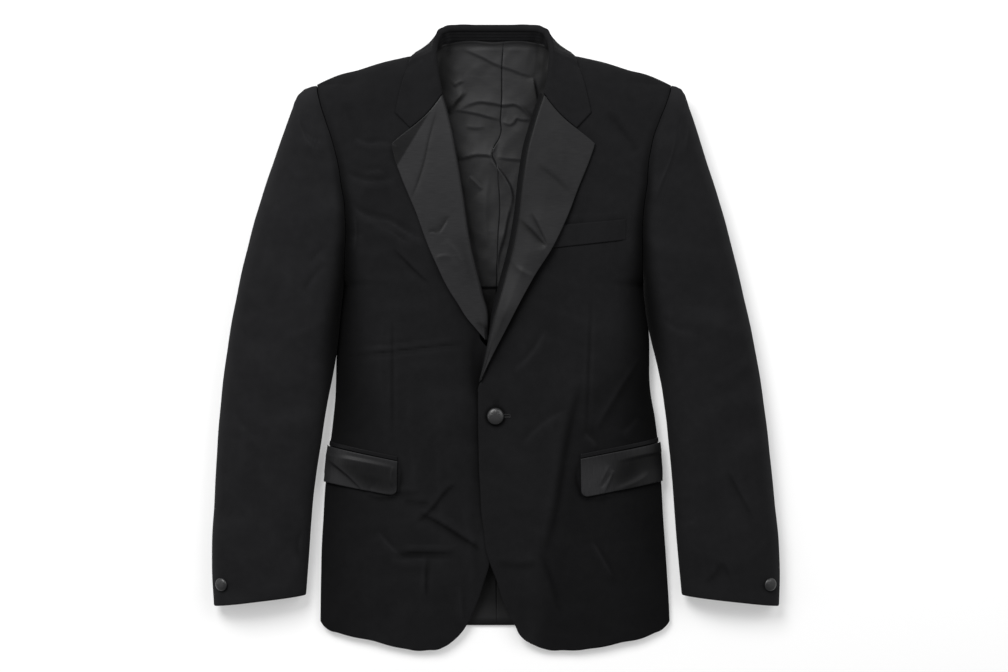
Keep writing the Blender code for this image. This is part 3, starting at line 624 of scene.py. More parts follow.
frontFolds = {
    # height, narrow side, wide side, chain
    "right": (
        (-1.5, 1.1, 1.2, ((-184, -19), (-150, -17), (-122, -14), (-68, -8), (-36, -5))),
        (0.5, 2, 8, ((-176, -14), (-122, -10), (-60, -4))),
        (1.1, 1.8, 8, ((-180, 196), (-164, 189), (-146, 186), (-120, 189))),
        (0.8, 1.6, 6, ((-158, 193), (-146, 199), (-132, 197))),
        (1, 1.8, 7, ((-170, 238), (-152, 231), (-138, 232), (-118, 227))),
        (1.3, 1.8, 10, ((-176, 160), (-152, 144), (-128, 138), (-104, 124), (-84, 116))),
        (0.9, 1.5, 7, ((-150, 134), (-128, 128), (-110, 116), (-98, 112))),
        (-1.2, 1.3, 3, ((-124, 108), (-106, 90), (-96, 80), (-80, 66))),
        (0.9, 1.8, 6, ((-171, 150), (-168, 128), (-172, 100))),
        (0.8, 1.8, 6, ((-182, 128), (-170, 120), (-158, 124))),
        (-1.4, 9, 16, ((-181, 284), (-176, 262), (-164, 236))),
        (-1.9, 1.8, 5, ((-95, -220), (-72, -197), (-62, -184), (-48, -172))),
        (-1.9, 1.8, 6, ((-94, -208), (-56, -229), (-38, -241), (-12, -256))),
        (-1.7, 1.6, 7, ((-124, -259), (-92, -256), (-72, -257), (-48, -255))),
        (0.9, 2, 6, ((-128, -264), (-104, -266), (-82, -263))),
        (-1, 1.4, 4, ((-124, -184), (-108, -185), (-92, -184))),
        (-1, 1.4, 4, ((-112, -194), (-98, -195), (-78, -197))),
        (-1.3, 1.6, 4, ((-85, -310), (-85, -288), (-83, -264))),
        (0.8, 2.5, 7, ((-46, -296), (-44, -324), (-42, -346))),
        (1.2, 2.5, 8, ((-144, -230), (-126, -252), (-112, -264))),
    ),
    "left": (
        (2, 3, 12, ((172, -19), (142, -64), (116, -108))),
        (1.5, 2.5, 7, ((104, -113), (112, -121), (120, -129))),
        (-3.2, 8, 30, ((58, -262), (68, -226), (78, -170), (88, -110), (104, -46))),
        (-1.5, 6, 14, ((76, -330), (66, -290), (53, -256))),
        (-0.8, 4, 9, ((-2, -268), (24, -273), (52, -268))),
        (1.4, 2, 6, ((113, -242), (126, -264), (139, -287))),
        (1.3, 2.5, 8, ((150, -116), (160, -106), (171, -94))),
        (-1.6, 9, 16, ((130, 270), (148, 248), (166, 222))),
        (1.3, 3, 12, ((20, -40), (42, -18), (60, 12))),
        (1.1, 3, 12, ((30, -130), (54, -104), (84, -86))),
    ),
}

darts = {
    "right": ((-0.8, 1.8, 1.8, ((-125, 26), (-125, -50), (-125, -116))),),
    "left": (
        (-0.8, 1.8, 1.8, ((112, 47), (109, -40), (106, -121))),
        (-0.9, 1.2, 1.2, ((76, 137), (110, 139.5), (158, 144))),
    ),
}


# painted shade in the hollow between body and sleeve: how far it reaches, and its deepest tone
sideShadeTable = np.array([
    # y, front: reach, least; sleeve: reach, least
    (-377, 60, 0.7, 10, 0.85),
    (-265, 60, 0.62, 10, 0.85),
    (-145, 56, 0.42, 12, 0.7),
    (-80, 52, 0.26, 14, 0.5),
    (-30, 44, 0.2, 18, 0.3),
    (47, 28, 0.12, 17, 0.12),
    (90, 18, 0.12, 14, 0.12),
    (150, 12, 0.2, 10, 0.25),
    (200, 9, 0.4, 8, 0.45),
    (240, 8, 0.65, 6, 0.7),
    (304, 6, 0.9, 5, 0.95),
], float)


def paintedShadeAtSide(side, x, y, onSleeve=False):
    # painted shade, deepest in the hollow between body and sleeve, lighter by a smooth rise over its reach
    first = 3 if onSleeve else 1
    reach, least = (tableAt(sideShadeTable, column, y) for column in (first, first + 1))
    away = np.abs(x - bodySide(side, y))
    return least + (1 - least) * smoothstep(0.5 * away / reach + 0.25 * np.clip(away / reach, 0, 1))


# the front button is named here because shade is painted on the cloth round it
button = {
    "place": (-1.8, -91.8),
    "width": 20,
    "depth": 4.6,
    "lift": 1.6,
    "cuffWidth": 15.6,
    "cuffDepth": 3.8,
    "cuffLift": 0.9,
    "cuffRing": 14.57,
    "cuffShare": 0.765,
    "shank": 2.2,
    "pucker": 0.16,
    "puckers": 11,
    "puckerAt": 0.46,
    "puckerWidth": 0.15,
    "steps": 45,
}

frontShades = {
    # depth, narrow side, wide side, chain: painted shadows beside the left front's edge, both lapels'
    # leaves and the flaps, and above the button
    "right": (
        (-0.7, 4, 7, ((-14, 12), (-20, -40), (-22, -100), (-20, -160), (-14, -236))),
        (-0.4, 6, 7, ((-84, 112), (-62, 72), (-42, 38), (-22, 8))),
        (-0.5, 9, 9, ((-14, 44), (-22, 16), (-28, -8), (-29, -34), (-28, -76))),
        (-0.6, 3, 2, ((-117, -144), (-117, -176), (-121, -187), (-132, -190), (-160, -185))),
    ),
    "left": (
        (-0.75, 10, 8, ((-16, -46), (0, -12), (18, 24), (44, 72), (70, 118))),
        (-0.5, 7, 3, ((58, 92), (96, 176), (116, 232))),
        (-0.3, 4, 5, ((-5, -78), (0, -75), (4, -74))),
        (-0.6, 2, 3, ((98, -142), (98, -180), (103, -190), (114, -191), (150, -185))),
        (-0.28, 8, 14, ((66, -330), (58, -262), (68, -226), (78, -170), (88, -110), (104, -46))),
    ),
}


def frontPaintedShade(side, x, y, relief):
    # painted shade by the sleeve, beside frontShades, in creases and round the button, and on the left
    # skirt, which hangs a little away from the light beyond a line from its dart to the hem
    paintedLight = paintedShadeAtSide(side, x, y) * shade(x, y, frontShades[sideNames[side]])
    paintedLight = paintedLight * paintedReliefShade(relief, front["reliefShadeGain"])
    if side > 0:
        lineX, lineY, slope, reach = front["skirtLine"]
        beyond = smoothstep((x - lineX - (y - lineY) * slope) / reach) * rise(y, front["skirtFade"])
        reach = np.hypot(x - button["place"][0], y - button["place"][1])
        atRim = np.exp(-(((reach - front["buttonShadeAt"]) / front["buttonShadeWidth"]) ** 2))
        paintedLight = paintedLight * (1 - front["skirtShade"] * beyond) * (1 - front["buttonShade"] * atRim)
    return paintedLight


def nearBorder(grid, reach):
    # 0 on the border of a grid of points, rising to 1 at a reach inside it
    away = np.full(grid.shape[:2], np.inf)
    for line in (grid[0], grid[-1], grid[:, 0], grid[:, -1]):
        step = max(1, len(line) // 60)
        gap = grid[:, :, None, :2] - line[None, None, ::step, :2]
        away = np.minimum(away, np.linalg.norm(gap, axis=3).min(2))
    return smoothstep(away / reach)


def frontRelief(side, x, y):
    # folds and unevenness of a front, gone at its seams and where the other front lies over it
    relief = foldRelief(x, y, frontFolds[sideNames[side]]) + unevenness(x, y, front["waves"], side)
    relief += unevenness(x, y, front["creasedWaves"], side, True)
    out = (bodySide(side, y) - x) * side
    up = shoulderLine(x)[0] - y
    relief *= smoothstep(out / front["calmAtSeam"]) * smoothstep(up / front["calmAtSeam"])
    if side < 0:
        relief *= rise(x, front["lap"])
    return relief + foldRelief(x, y, darts[sideNames[side]])


def frontSurface(side, x, y):
    return frontHeight(side, x, y) + frontRelief(side, x, y)


def frontPlan(side, shares, across):
    # straight rows between the front edge and the side, plus the hem's sag * a fade upwards, and
    # lifted near the top so that the last row lies on the shoulder
    edge, hem = (rightEdge, rightHem) if side < 0 else (leftEdge, leftHem)
    inner = along(edge, shares)
    inner[-1, 1] = shoulderLine(inner[-1, 0])[0]
    low, high = hem[-1, 1], body["shoulderPoint"]
    outerY = low + (high - low) * curve(*front["rising"], shares)
    outer = np.column_stack([bodySide(side, outerY), outerY])
    plan = inner[:, None] + (outer - inner)[:, None] * across[None, :, None]
    sag = along(hem, across) - (hem[0] + (hem[-1] - hem[0]) * across[:, None])
    fade = np.clip(1 - (inner[:, 1] - inner[0, 1]) / body["hemSag"], 0, 1) ** 1.5
    plan += sag[None] * fade[:, None, None]
    top = shoulderLine(plan[-1, :, 0])[0] - plan[-1, :, 1]
    lift = smoothstep((plan[:, :1, 1] - front["liftFrom"]) / (plan[-1:, :1, 1] - front["liftFrom"]))
    plan[..., 1] += lift * top
    return plan


def makeFront(side, label):
    # height = the front's own + its relief, on columns that crowd towards the side
    across = spread(front["columns"])
    across = (1 - front["crowding"]) * across + front["crowding"] * np.sin(across * math.pi / 2)
    plan = frontPlan(side, spread(front["rows"], 0.002), across)
    x, y = plan[..., 0], plan[..., 1]
    relief = frontRelief(side, x, y)
    outer = np.dstack([plan, frontHeight(side, x, y) + relief])
    paintedLight = frontPaintedShade(side, x, y, relief)
    piece = clothPiece("front_" + label, outer, cloth["wool"], barathea, level=[-1],
                       edges=(pressed, sewn, pressed, sewn), paintedShade=paintedLight)
    dress(piece, "front_" + label, ["lining_" + label])


def backSeam(side, y):
    # a straight line from the hem to the underarm
    share = (y - body["hem"]) / (body["underarm"] - body["hem"])
    half = body["halfBackHem"] + (body["halfBackUnderarm"] - body["halfBackHem"]) * share
    return body["neckMiddle"] + side * half


sidePanel = {
    "rows": 120,
    "bendColumns": 16,
    "flatColumns": 14,
    "roll": 25,
    "underarmRoll": 8,
    "narrowing": (10, 50),   # the roll narrows towards the underarm
}


def makeSide(side, label):
    # a quarter of an ellipse under the side edge, then flat in to the back's seam
    y = np.linspace(rightHem[-1, 1], body["underarm"] - 2 * cloth["seam"], sidePanel["rows"])
    edgeX = bodySide(side, y)
    edgeZ = tableAt(bodyLines, 4, y) - 3 * cloth["seam"]
    narrower = (sidePanel["underarmRoll"] - sidePanel["roll"]) * rise(y, sidePanel["narrowing"])
    roll = sidePanel["roll"] + narrower
    turn = np.linspace(0, math.pi / 2, sidePanel["bendColumns"])
    bendX = edgeX[:, None] - side * roll[:, None] * (1 - np.cos(turn))
    bendZ = edgeZ[:, None] * (1 - np.sin(turn))
    seamX = backSeam(side, y)
    flatX = bendX[:, -1:] + (seamX[:, None] - bendX[:, -1:]) * spread(sidePanel["flatColumns"])[None, 1:]
    x = np.concatenate([bendX, flatX], axis=1)
    z = np.concatenate([bendZ, np.zeros_like(flatX)], axis=1)
    outer = np.dstack([x, np.broadcast_to(y[:, None], x.shape), z])
    piece = clothPiece("side_" + label, outer, cloth["wool"], barathea, upwards=False, level=[0],
                       edges=(pressed, sewn, sewn, sewn))
    dress(piece, "side_" + label, ["floor"])


def backHeight(x, y):
    # 0 on the floor, rising over the shoulders as one less an oval to the seam's height
    seamY, seamZ = shoulderLine(x)
    share = np.clip((y - body["backRise"]) / (seamY - body["backRise"]), 0, 1)
    return seamZ * (1 - oval(share, body["flatPower"]))


def hemDrop(plan):
    # the back's hem hangs a little lower in the middle than at the sides
    away = np.abs(plan[..., 0] - body["neckMiddle"]) / body["halfBackHem"]
    nearHem = smoothstep((body["hem"] + body["hemDropReach"] - plan[..., 1]) / body["hemDropReach"])
    return body["hemDrop"] * smoothstep(1.4 - 1.4 * away) * nearHem


back = {
    "rowsBelow": 68,
    "rowsAbove": 42,
    "columns": 44,
    "underarmGap": 0.3,
    "calmAtSeam": 12,
}


def backPlan(side):
    # from the middle out to the side seam, then to the armhole, its top on the shoulder seam
    middle, underarm, gap = body["neckMiddle"], body["underarm"], back["underarmGap"]
    below = np.linspace(body["hem"], underarm - gap, back["rowsBelow"])
    above = underarm + gap + (body["shoulderPoint"] - 0.5 - underarm) * spread(back["rowsAbove"]) ** 0.8
    y = np.concatenate([below, above])
    edgeX = np.where(y < underarm, backSeam(side, y), bodySide(side, y)) - side * cloth["seam"]
    middleX = np.full(len(y), middle + side * cloth["seam"] / 2)
    x = middleX[:, None] + (edgeX - middleX)[:, None] * spread(back["columns"])
    top = shoulderLine(x)[0] - cloth["seam"]
    share = smoothstep((y - underarm) / (body["shoulderPoint"] - underarm))[:, None]
    plan = np.dstack([x, y[:, None] + share * (top - body["shoulderPoint"])])
    plan[..., 1] -= hemDrop(plan)
    return plan


backFolds = (
    # hidden creases of the back, as it was folded and laid
    (0.8, 3, 9, ((-150, -40), (-90, -52), (-20, -46))),
    (0.7, 3, 8, ((30, -30), (80, -44), (130, -38))),
    (0.8, 4, 10, ((-120, 180), (-70, 164), (-26, 168))),
    (0.7, 3, 9, ((24, 150), (70, 166), (120, 158))),
    (0.7, 3, 8, ((-60, -190), (-86, -232), (-96, -280))),
    (0.8, 3, 9, ((50, -170), (72, -224), (104, -262))),
)


def makeBack(side, label):
    # its outside is the back's height + hidden creases, and its inside the same moved straight up
    plan = backPlan(side)
    x, y = plan[..., 0], plan[..., 1]
    hollow = foldRelief(x, y, backFolds) * nearBorder(plan, back["calmAtSeam"])
    outer = np.dstack([plan, backHeight(x, y) + hollow])
    inner = outer + (0, 0, cloth["backWool"])
    piece = closedCloth("back_" + label, outer, inner, barathea)
    dress(piece, "back_" + label, ["floor"])


lining = {
    "lift": 3,
    "liftOver": (250, 90),
    "spreadOut": 28,
    "trim": 30,
    "trimOver": (-12, 24),   # from the underarm
    "parted": (226, 8),      # the centre seam is open from here
    "closed": (340, 10),     # up to here
    "tuck": 2.6,             # how far its top goes in under the collar's stand
    "tuckWithin": (73, -6),
    "shoulderGap": 14,       # and how far it stays below the fronts' shoulder seam
    "gapBeyond": (71, 10),
    "shownFrom": 40,
    "shownReach": 66,
    "rows": (40, 250),      # below and above where it first shows in the neck
    "columns": (50, 14),    # within and beyond the reach that shows
    "seamGroove": 0.5,
    "seamGrooveWidth": 1.2,
    "creasedWaves": (38, 0.3, 5),    # size, height and seed of its unevenness
    "waves": (24, 0.16, 9),
    "slack": 0.6,
    "seenFrom": (-60, 40),   # the creases lie between these
    "seenTo": (354, -6),
    "step": 2.2,             # at the facing's edge, fading out far below it
    "stepAt": (60.5, 3),
    "stepFade": (-40, 60),
    "footShade": 0.82,       # painted shade below the facing's edge, less of it near the hem
    "footFrom": (62, -4),
    "footFade": (-334, 18),
    "footLeast": 0.35,
    "reliefShadeGain": 0.28,
}

seamWander = np.array([
    # y, shift
    (-350, 4), (60, 4), (119, 5.5), (190, 6), (212, 3), (222, -1), (230, 0.5), (240, 6.5), (262, 8.5),
    (285, 10), (330, 10.5), (356, 12.5),
], float)

liningFolds = (
    # height, narrow side, wide side, chain
    (1.3, 2, 14, ((46, 318), (34, 320), (18, 326), (0, 332), (-18, 341), (-40, 350))),
    (2.4, 1.8, 9, ((-38, 300), (-46, 291), (-52, 284), (-58, 273))),
    (1.1, 1.5, 5, ((-40, 312), (-46, 310), (-52, 305))),
    (1.9, 1.8, 10, ((42, 268), (33, 276), (28, 281), (7, 283), (-10, 286), (-30, 285), (-46, 277))),
    (1.5, 1.4, 9, ((6, 265), (-10, 269), (-30, 274), (-52, 277))),
    (1.3, 1.3, 6, ((42, 265), (28, 266), (24, 267), (20, 262), (10, 261), (6, 263))),
    (1.7, 1.5, 8, ((-2, 220), (-20, 223), (-34, 221), (-50, 216))),
    (1.1, 1.8, 8, ((36, 217), (18, 218), (0, 220))),
    (2.2, 1.4, 7, ((1, 240), (-4, 230), (-7, 220), (-3, 211), (4, 202), (12, 190), (17, 178), (17, 160))),
    (1.4, 1.1, 5, ((-33, 197), (-27, 191), (-18, 181))),
    (1.4, 2, 6, ((43, 316), (46, 300), (50, 282))),
    (1.6, 1.6, 9, ((17, 164), (12, 145), (8, 125), (3, 108), (0, 94), (-2, 76))),
    (0.9, 2.5, 8, ((-14, 258), (-26, 256), (-38, 258))),
    (0.8, 3, 9, ((-10, 200), (-14, 160), (-12, 110))),
)


liningShades = (
    # depth, narrow side, wide side, chain: painted shade under the collar and lapels and beside the
    # lining's creases
    (-0.85, 4, 9, ((-66, 274), (-68, 306), (-70, 332), (-64, 372))),
    (-0.8, 4, 9, ((58, 372), (61, 336), (58, 306), (52, 280))),
    (-0.5, 9, 10, ((-62, 356), (-59, 338), (-60, 312), (-60, 296))),
    (-0.65, 9, 9, ((53, 356), (52, 338), (54, 318))),
    (-0.92, 3.6, 5, ((-39, 300), (-46, 291), (-53, 280), (-62, 264))),
    (-0.85, 1.6, 2.6, ((43, 320), (46, 302), (50, 280))),
    (-0.55, 2, 3, ((26, 284), (36, 276), (46, 265))),
    (-0.6, 5, 5, ((-54, 213), (-47, 217), (-40, 220))),
    (-0.5, 2, 4, ((0, 243), (-4, 230), (-9, 216))),
    (-0.75, 3, 7, ((-62, 278), (-58, 262), (-50, 222), (-40, 170), (-26, 100), (-14, 40))),
    (-0.85, 8, 8, ((0, 78), (-4, 56), (-7, 36), (-10, 18), (-16, -4), (-22, -20))),
)


def liningGrid(side):
    # dense where it shows in the neck; the centre seam wanders, and the cloth pinches into it
    middle, underarm = body["neckMiddle"], body["underarm"]
    hidden, shown = lining["rows"]
    shownFrom = lining["shownFrom"]
    y = np.concatenate([np.linspace(body["hem"], shownFrom, hidden, endpoint=False),
                        shownFrom + (body["shoulderPoint"] - shownFrom) * spread(shown)])
    belowX = backSeam(side, y) + side * lining["spreadOut"]
    aboveX = bodySide(side, y) - side * lining["trim"]
    edgeX = belowX + (aboveX - belowX) * rise(y - underarm, lining["trimOver"])
    near, far = lining["columns"]
    raised = smoothstep((y - underarm) / (body["shoulderPoint"] - underarm))
    neckY = y + raised * (shoulderLines[0, 1] - body["shoulderPoint"])
    shift = tableAt(seamWander, 1, neckY)
    parted = rise(neckY, lining["parted"]) * (1 - rise(neckY, lining["closed"]))
    start = middle + shift + side * cloth["seam"] / 2 * parted
    reach = middle + side * lining["shownReach"]
    first = start[:, None] + (reach - start)[:, None] * np.linspace(0, 1, near)
    rest = reach + (edgeX[:, None] - reach) * np.linspace(0, 1, far + 1)[1:]
    x = np.concatenate([first, rest], axis=1)
    gap = lining["shoulderGap"] * rise(np.abs(x - middle), lining["gapBeyond"])
    tuck = lining["tuck"] * rise(np.abs(x - middle), lining["tuckWithin"])
    top = shoulderLine(x)[0] - cloth["seam"] - gap + tuck
    plan = np.dstack([x, y[:, None] + raised[:, None] * (top - body["shoulderPoint"])])
    plan[..., 1] -= hemDrop(plan)
    return plan, np.abs(x - start[:, None]) + 2 * (1 - parted)[:, None]


def makeLining(side, label):
    # height = the back's + a lift towards the neck + its creases, less a groove at the centre seam
    plan, fromSeam = liningGrid(side)
    x, y = plan[..., 0], plan[..., 1]
    clear = cloth["wool"] + 0.1 + lining["lift"] * rise(y, lining["liftOver"])
    base = backHeight(x, y) + clear
    shown = rise(y, lining["seenFrom"]) * rise(y, lining["seenTo"])
    creases = foldRelief(x, y, liningFolds) + unevenness(x, y, lining["creasedWaves"], 0, True)
    creases += unevenness(x, y, lining["waves"])
    groove = lining["seamGroove"] * np.exp(-fromSeam / lining["seamGrooveWidth"])
    step = lining["step"] * rise(y, lining["stepAt"]) * rise(y, lining["stepFade"])
    relief = np.maximum(creases + lining["slack"] - groove, 0) * shown + step
    below = np.dstack([plan, base + relief])
    upper = below + (0, 0, cloth["lining"])
    # painted shade below the facing's edge and beside liningShades, with painted shade in its creases and
    # light on their crests
    least = lining["footLeast"]
    belowStep = rise(y, lining["footFrom"]) * (least + (1 - least) * rise(y, lining["footFade"]))
    paintedLight = 1 - lining["footShade"] * belowStep
    paintedLight = paintedLight * shade(x, y, liningShades) * paintedReliefShade(relief, lining["reliefShadeGain"], 2)
    piece = closedCloth("lining_" + label, upper, below, liningTwill, paintedShade=paintedLight)
    dress(piece, "lining_" + label, ["back_" + label])


for side, label in sideNames.items():
    makeFront(side, label)
    makeSide(side, label)
    makeBack(side, label)
    makeLining(side, label)
print("body: made")


# lapels


lapel = {
    "roll": 3.6,
    "tipRoll": 2.2,
    "facing": 14,
    "gorgeDip": 5,
    "breakLift": 1,
    "slack": 1.1,          # how far a leaf stands off the front, so that its creases can sink in
    "showing": 11,         # how far the left facing bellies out below its roll
    "leafLift": 4.2,
    "leafLiftAt": 0.36,
    "leafLiftSpread": 0.26,
    "facingClearance": 1.3,
    "weltCloth": 1.7,
    "tipOver": 0.25,       # shares of the lapel's length over which its changes run
    "breakOver": 0.6,
    "gorgeOver": (0.8, 0.2),
    "showingOver": 0.3,
    "weltMiddle": 122,
    "weltBlend": 28,
    "peakTilt": 0.17,      # how steeply the right peak lifts beyond its crease
    "peakCrease": (-86, 259, 1.64, 1.92),   # a point of the crease, its slope, and that line's length
    # painted light and shade on the leaves: a tone, and how much less it is past the peak's crease or near
    # the peak
    "peakShade": (1.04, 0.55),     # the right leaf's tone, and how much less it is beyond the crease
    "leafShade": (0.82, 0.06),     # the left leaf's tone, and how much less it is near its peak
    "leafShadeOver": (190, 50),
    # painted shade over the roll and the facing strip
    "rollShade": 0.6,
    "waves": (60, 0.3, 21),    # size, height and seed of its unevenness
    "reliefShadeGain": 0.22,
    "rows": 205,
    "leafColumns": 66,
    "foldSteps": 15,
    "facingColumns": 12,
}

rightLapel = np.array([
    # rollX, rollY, edgeX, edgeY
    (-10.6, -2, -14.6, 0),
    (-9.6, 12, -24, 11),
    (-17, 55, -46, 41),
    (-29.5, 107, -73, 91),
    (-39, 168, -96, 150),
    (-48, 222, -115, 196),
    (-56, 262, -122.3, 219),
    (-64, 291, -124.3, 231.9),
], float)
leftLapel = np.array([
    # rollX, rollY, edgeX, edgeY
    (-21.8, -51.4, -18.9, -47.6),
    (-16.5, -30, -9.5, -28),
    (-9.5, 4, 8, 6),
    (8, 70, 43, 72),
    (24, 140, 74, 124),
    (31, 198, 97, 180),
    (43, 254, 112.5, 219),
    (55, 291, 116.4, 231.9),
], float)

lapelFolds = {
    # height, narrow side, wide side, chain
    "right": (
        (-1.1, 1.5, 3, ((-102, 165), (-92, 191), (-80, 239), (-70, 274))),
        (-0.8, 1.5, 6, ((-58, 146), (-64, 134), (-70, 125))),
        (-0.6, 1.5, 4, ((-70, 125), (-76, 128), (-82, 126))),
        (0.8, 2.5, 8, ((-73, 94), (-64, 98), (-54, 96))),
        (0.9, 4, 12, ((-62, 118), (-50, 104), (-40, 84))),
    ),
    "left": (
        (-1, 4, 7, ((46, 205), (64, 193), (78, 180), (86, 171))),
        (-1.6, 1.6, 6, ((26, 143), (38, 131), (49, 119), (58, 108))),
        (-1.2, 1.6, 5, ((40, 149), (50, 130), (59, 110))),
        (0.9, 3, 9, ((14, 92), (30, 80), (44, 74))),
    ),
}


lapelShades = {
    # depth, narrow side, wide side, chain: painted shade on creases' dark sides, then over whole areas
    "right": (
        (-0.45, 1.6, 3, ((-102, 165), (-92, 191), (-80, 239), (-70, 276))),
        (-0.5, 1.6, 5, ((-56, 148), (-64, 134), (-72, 124))),
        (-0.4, 1.6, 3, ((-70, 125), (-76, 128), (-82, 126))),
        (-0.3, 2, 4, ((-73, 94), (-64, 98), (-54, 96))),
        (-0.25, 8, 8, ((-44, 128), (-38, 96), (-28, 60))),
        (-0.5, 4, 5, ((-26, 20), (-17, 15), (-11, 10), (-8, 4))),
        (-0.8, 2.5, 3, ((-8, 38), (-10, 20), (-11, 8), (-12, -4))),
    ),
    "left": (
        (-0.25, 5, 7, ((46, 205), (64, 193), (78, 180), (88, 170))),
        (-0.75, 1.8, 4, ((25, 144), (38, 131), (49, 119), (59, 108))),
        (-0.5, 1.8, 3, ((40, 150), (50, 130), (60, 110))),
        (-0.4, 2.5, 6, ((12, 96), (24, 84), (38, 76))),
        (-0.35, 3, 5, ((-12, -22), (2, 10), (16, 44))),
    ),
}


def beyondPeakCrease(x, y):
    # distance past the crease that crosses the right peak, positive towards its point
    creaseX, creaseY, slope, length = lapel["peakCrease"]
    return (y - creaseY + slope * (creaseX - x)) / length


def lapelPaintedShade(side, grid):
    # painted light on the leaf, painted shade over the roll, in its crushed creases and towards the peak
    x, y = grid[..., 0], grid[..., 1]
    paintedLight = shade(x, y, lapelShades[sideNames[side]]) * paintedReliefShade(grid[..., 2], lapel["reliefShadeGain"], 2)
    tone, less = lapel["peakShade" if side < 0 else "leafShade"]
    nearPeak = smoothstep(beyondPeakCrease(x, y) / 2 + 0.5) if side < 0 else rise(y, lapel["leafShadeOver"])
    paintedLight *= tone - less * nearPeak
    paintedLight[:, lapel["leafColumns"]:] *= lapel["rollShade"]
    return paintedLight


def foldArc(steps):
    return np.linspace(math.pi / 2, -math.pi / 2, steps)


def lapelGrid(side, shares, columns, steps, relief=True):
    # leaf from its edge to the fold, the fold as half a turn, then a strip of facing inside
    table = rightLapel if side < 0 else leftLapel
    rows = curve(lengths(table[:, :2]), table, shares)
    roll, edge = rows[..., :2], rows[..., 2:]
    radius = lapel["tipRoll"] + (lapel["roll"] - lapel["tipRoll"]) * smoothstep(shares / lapel["tipOver"])
    out = edge - roll
    width = np.linalg.norm(out, axis=1)
    out /= width[:, None]
    radius = np.minimum(radius, width / 2.2)
    start = roll + out * radius[:, None]
    across = np.linspace(0, 1, columns)
    leaf = edge[:, None] + (start - edge)[:, None] * across[None, :, None]
    dip = lapel["gorgeDip"] * np.sin(math.pi * across**1.6)
    leaf[..., 1] -= dip[None] * rise(shares, lapel["gorgeOver"])[:, None]
    x, y = leaf[..., 0], leaf[..., 1]
    base = frontHeight(side, x, y)
    rollZ = base[:, -1] - cloth["wool"] / 2
    over = 1.6 - np.abs(y - lapel["weltMiddle"]) / lapel["weltBlend"]
    proud = cloth["lay"] + cloth["satin"] + (lapel["weltCloth"] * smoothstep(over) if side > 0 else 0)
    proud = proud + lapel["breakLift"] * (1 - smoothstep(shares / lapel["breakOver"]))[:, None]
    if side > 0:
        away = (shares - lapel["leafLiftAt"]) / lapel["leafLiftSpread"]
        proud = proud + (lapel["leafLift"] * np.exp(-(away**2)))[:, None]
    climb = (rollZ + radius - base[:, -1])[:, None] - proud
    leafZ = base + proud + climb * across**2
    if relief:
        own = foldRelief(x, y, lapelFolds[sideNames[side]]) + unevenness(x, y, lapel["waves"], side)
        own += lapel["slack"]
        if side < 0:
            own += lapel["peakTilt"] * np.maximum(beyondPeakCrease(x, y), 0)
        under = np.maximum(frontRelief(side, x, y), 0)
        leafZ = leafZ + (np.maximum(own, 0) + under) * smoothstep(2 - 2 * across)
    turn = foldArc(steps)[1:]
    arc = start[:, None] - out[:, None] * (radius[:, None] * np.cos(turn))[..., None]
    arcZ = rollZ[:, None] + radius[:, None] * np.sin(turn)
    facing = roll + out * np.minimum(lapel["facing"], width)[:, None]
    inside = frontHeight(side, facing[:, 0], facing[:, 1]) - cloth["wool"]
    facingZ = inside - cloth["satin"] - lapel["facingClearance"]
    last = np.dstack([arc[:, -1:], arcZ[:, -1:]])
    end = np.column_stack([facing, facingZ])[:, None]
    share = np.linspace(0, 1, lapel["facingColumns"] + 1)[None, 1:, None]
    belly = last.copy()
    if side > 0:
        showing = 2 * lapel["showing"] * smoothstep(shares / lapel["showingOver"])
        belly[:, 0, :2] -= out * showing[:, None]
        belly[:, 0, 2] -= 1.1 * showing
    strip = last * (1 - share) ** 2 + belly * 2 * share * (1 - share) + end * share**2
    shown = np.dstack([np.concatenate([leaf, arc], axis=1), np.concatenate([leafZ, arcZ], axis=1)])
    return np.concatenate([shown, strip], axis=1)


def makeLapel(side, label):
    shares = spread(lapel["rows"], 0.003) ** 1.1
    grid = lapelGrid(side, shares, lapel["leafColumns"], lapel["foldSteps"])
    piece = clothPiece("lapel_" + label, grid, cloth["satin"], duchessSatin, paintedShade=lapelPaintedShade(side, grid))
    dress(piece, "lapel_" + label, ["front_" + label])


# collar


collar = {
    "roll": 4.5,
    "notchShare": 0.37,
    "gorgeGap": (0, 0.9, 0.2),
    "rows": 210,
    "leafColumns": 36,
    "foldSteps": 13,
    "standSteps": 22,
    "onFronts": 4.6,     # stations from each end whose leaf lies on a front
    "stitchRows": (0.25, 0.5, 0.75),
    "stitchWidth": 0.045,
    "stitchDepth": 0.35,
    # painted light on the stand's middle and its left half, painted shade at the stand's ends
    "standLight": 3.8,     # paler in the middle of the stand than at its ends
    "standEndShade": 0.7,
    "standMiddle": (68, -18),
    "leftLight": 0.1,      # its left half lies a little nearer the light
    "leftLightOver": (0, 60),
}

collarStations = (
    # rollReach, rollY, rollZ, turn, stand, edgeReach, edgeY, edgeZ, neckReach, neckY, neckZ
    (61.5, 301, 49, 0, 0, 116.5, 269, None, 70.5, 301, 40),
    (63.5, 312, 49.5, 0, 8, 112.5, 288, None, 69.5, 312, 36),
    (65.3, 325, 50, 0, 10, 107.3, 309, None, 69.8, 325, 32),
    (66.3, 338, 49.5, 4, 14, 101.8, 324, None, 69.5, 337, 27),
    (66.3, 344, 49, 9, 18, 99.5, 333.5, 42, 68.7, 341.5, 24),
    (66, 349, 48, 16, 24, 96, 341.5, 30, 67.5, 345.5, 21),
    (63, 359, 45, 36, 38, 88, 347.5, 17, 63, 351, 14),
    (57, 366.5, 41, 58, 56, 73, 355, 4, 55, 355.5, 8),
    (43, 370.8, 36, 80, 78, 46, 361, 0, 41, 357, 5.6),
    (21, 372, 32.5, 87, 88, 22, 361, 0, 20, 357.2, 5),
    (0, 372.3, 31.5, 90, 90, 0, 361, 0, 0, 357.2, 5),
)


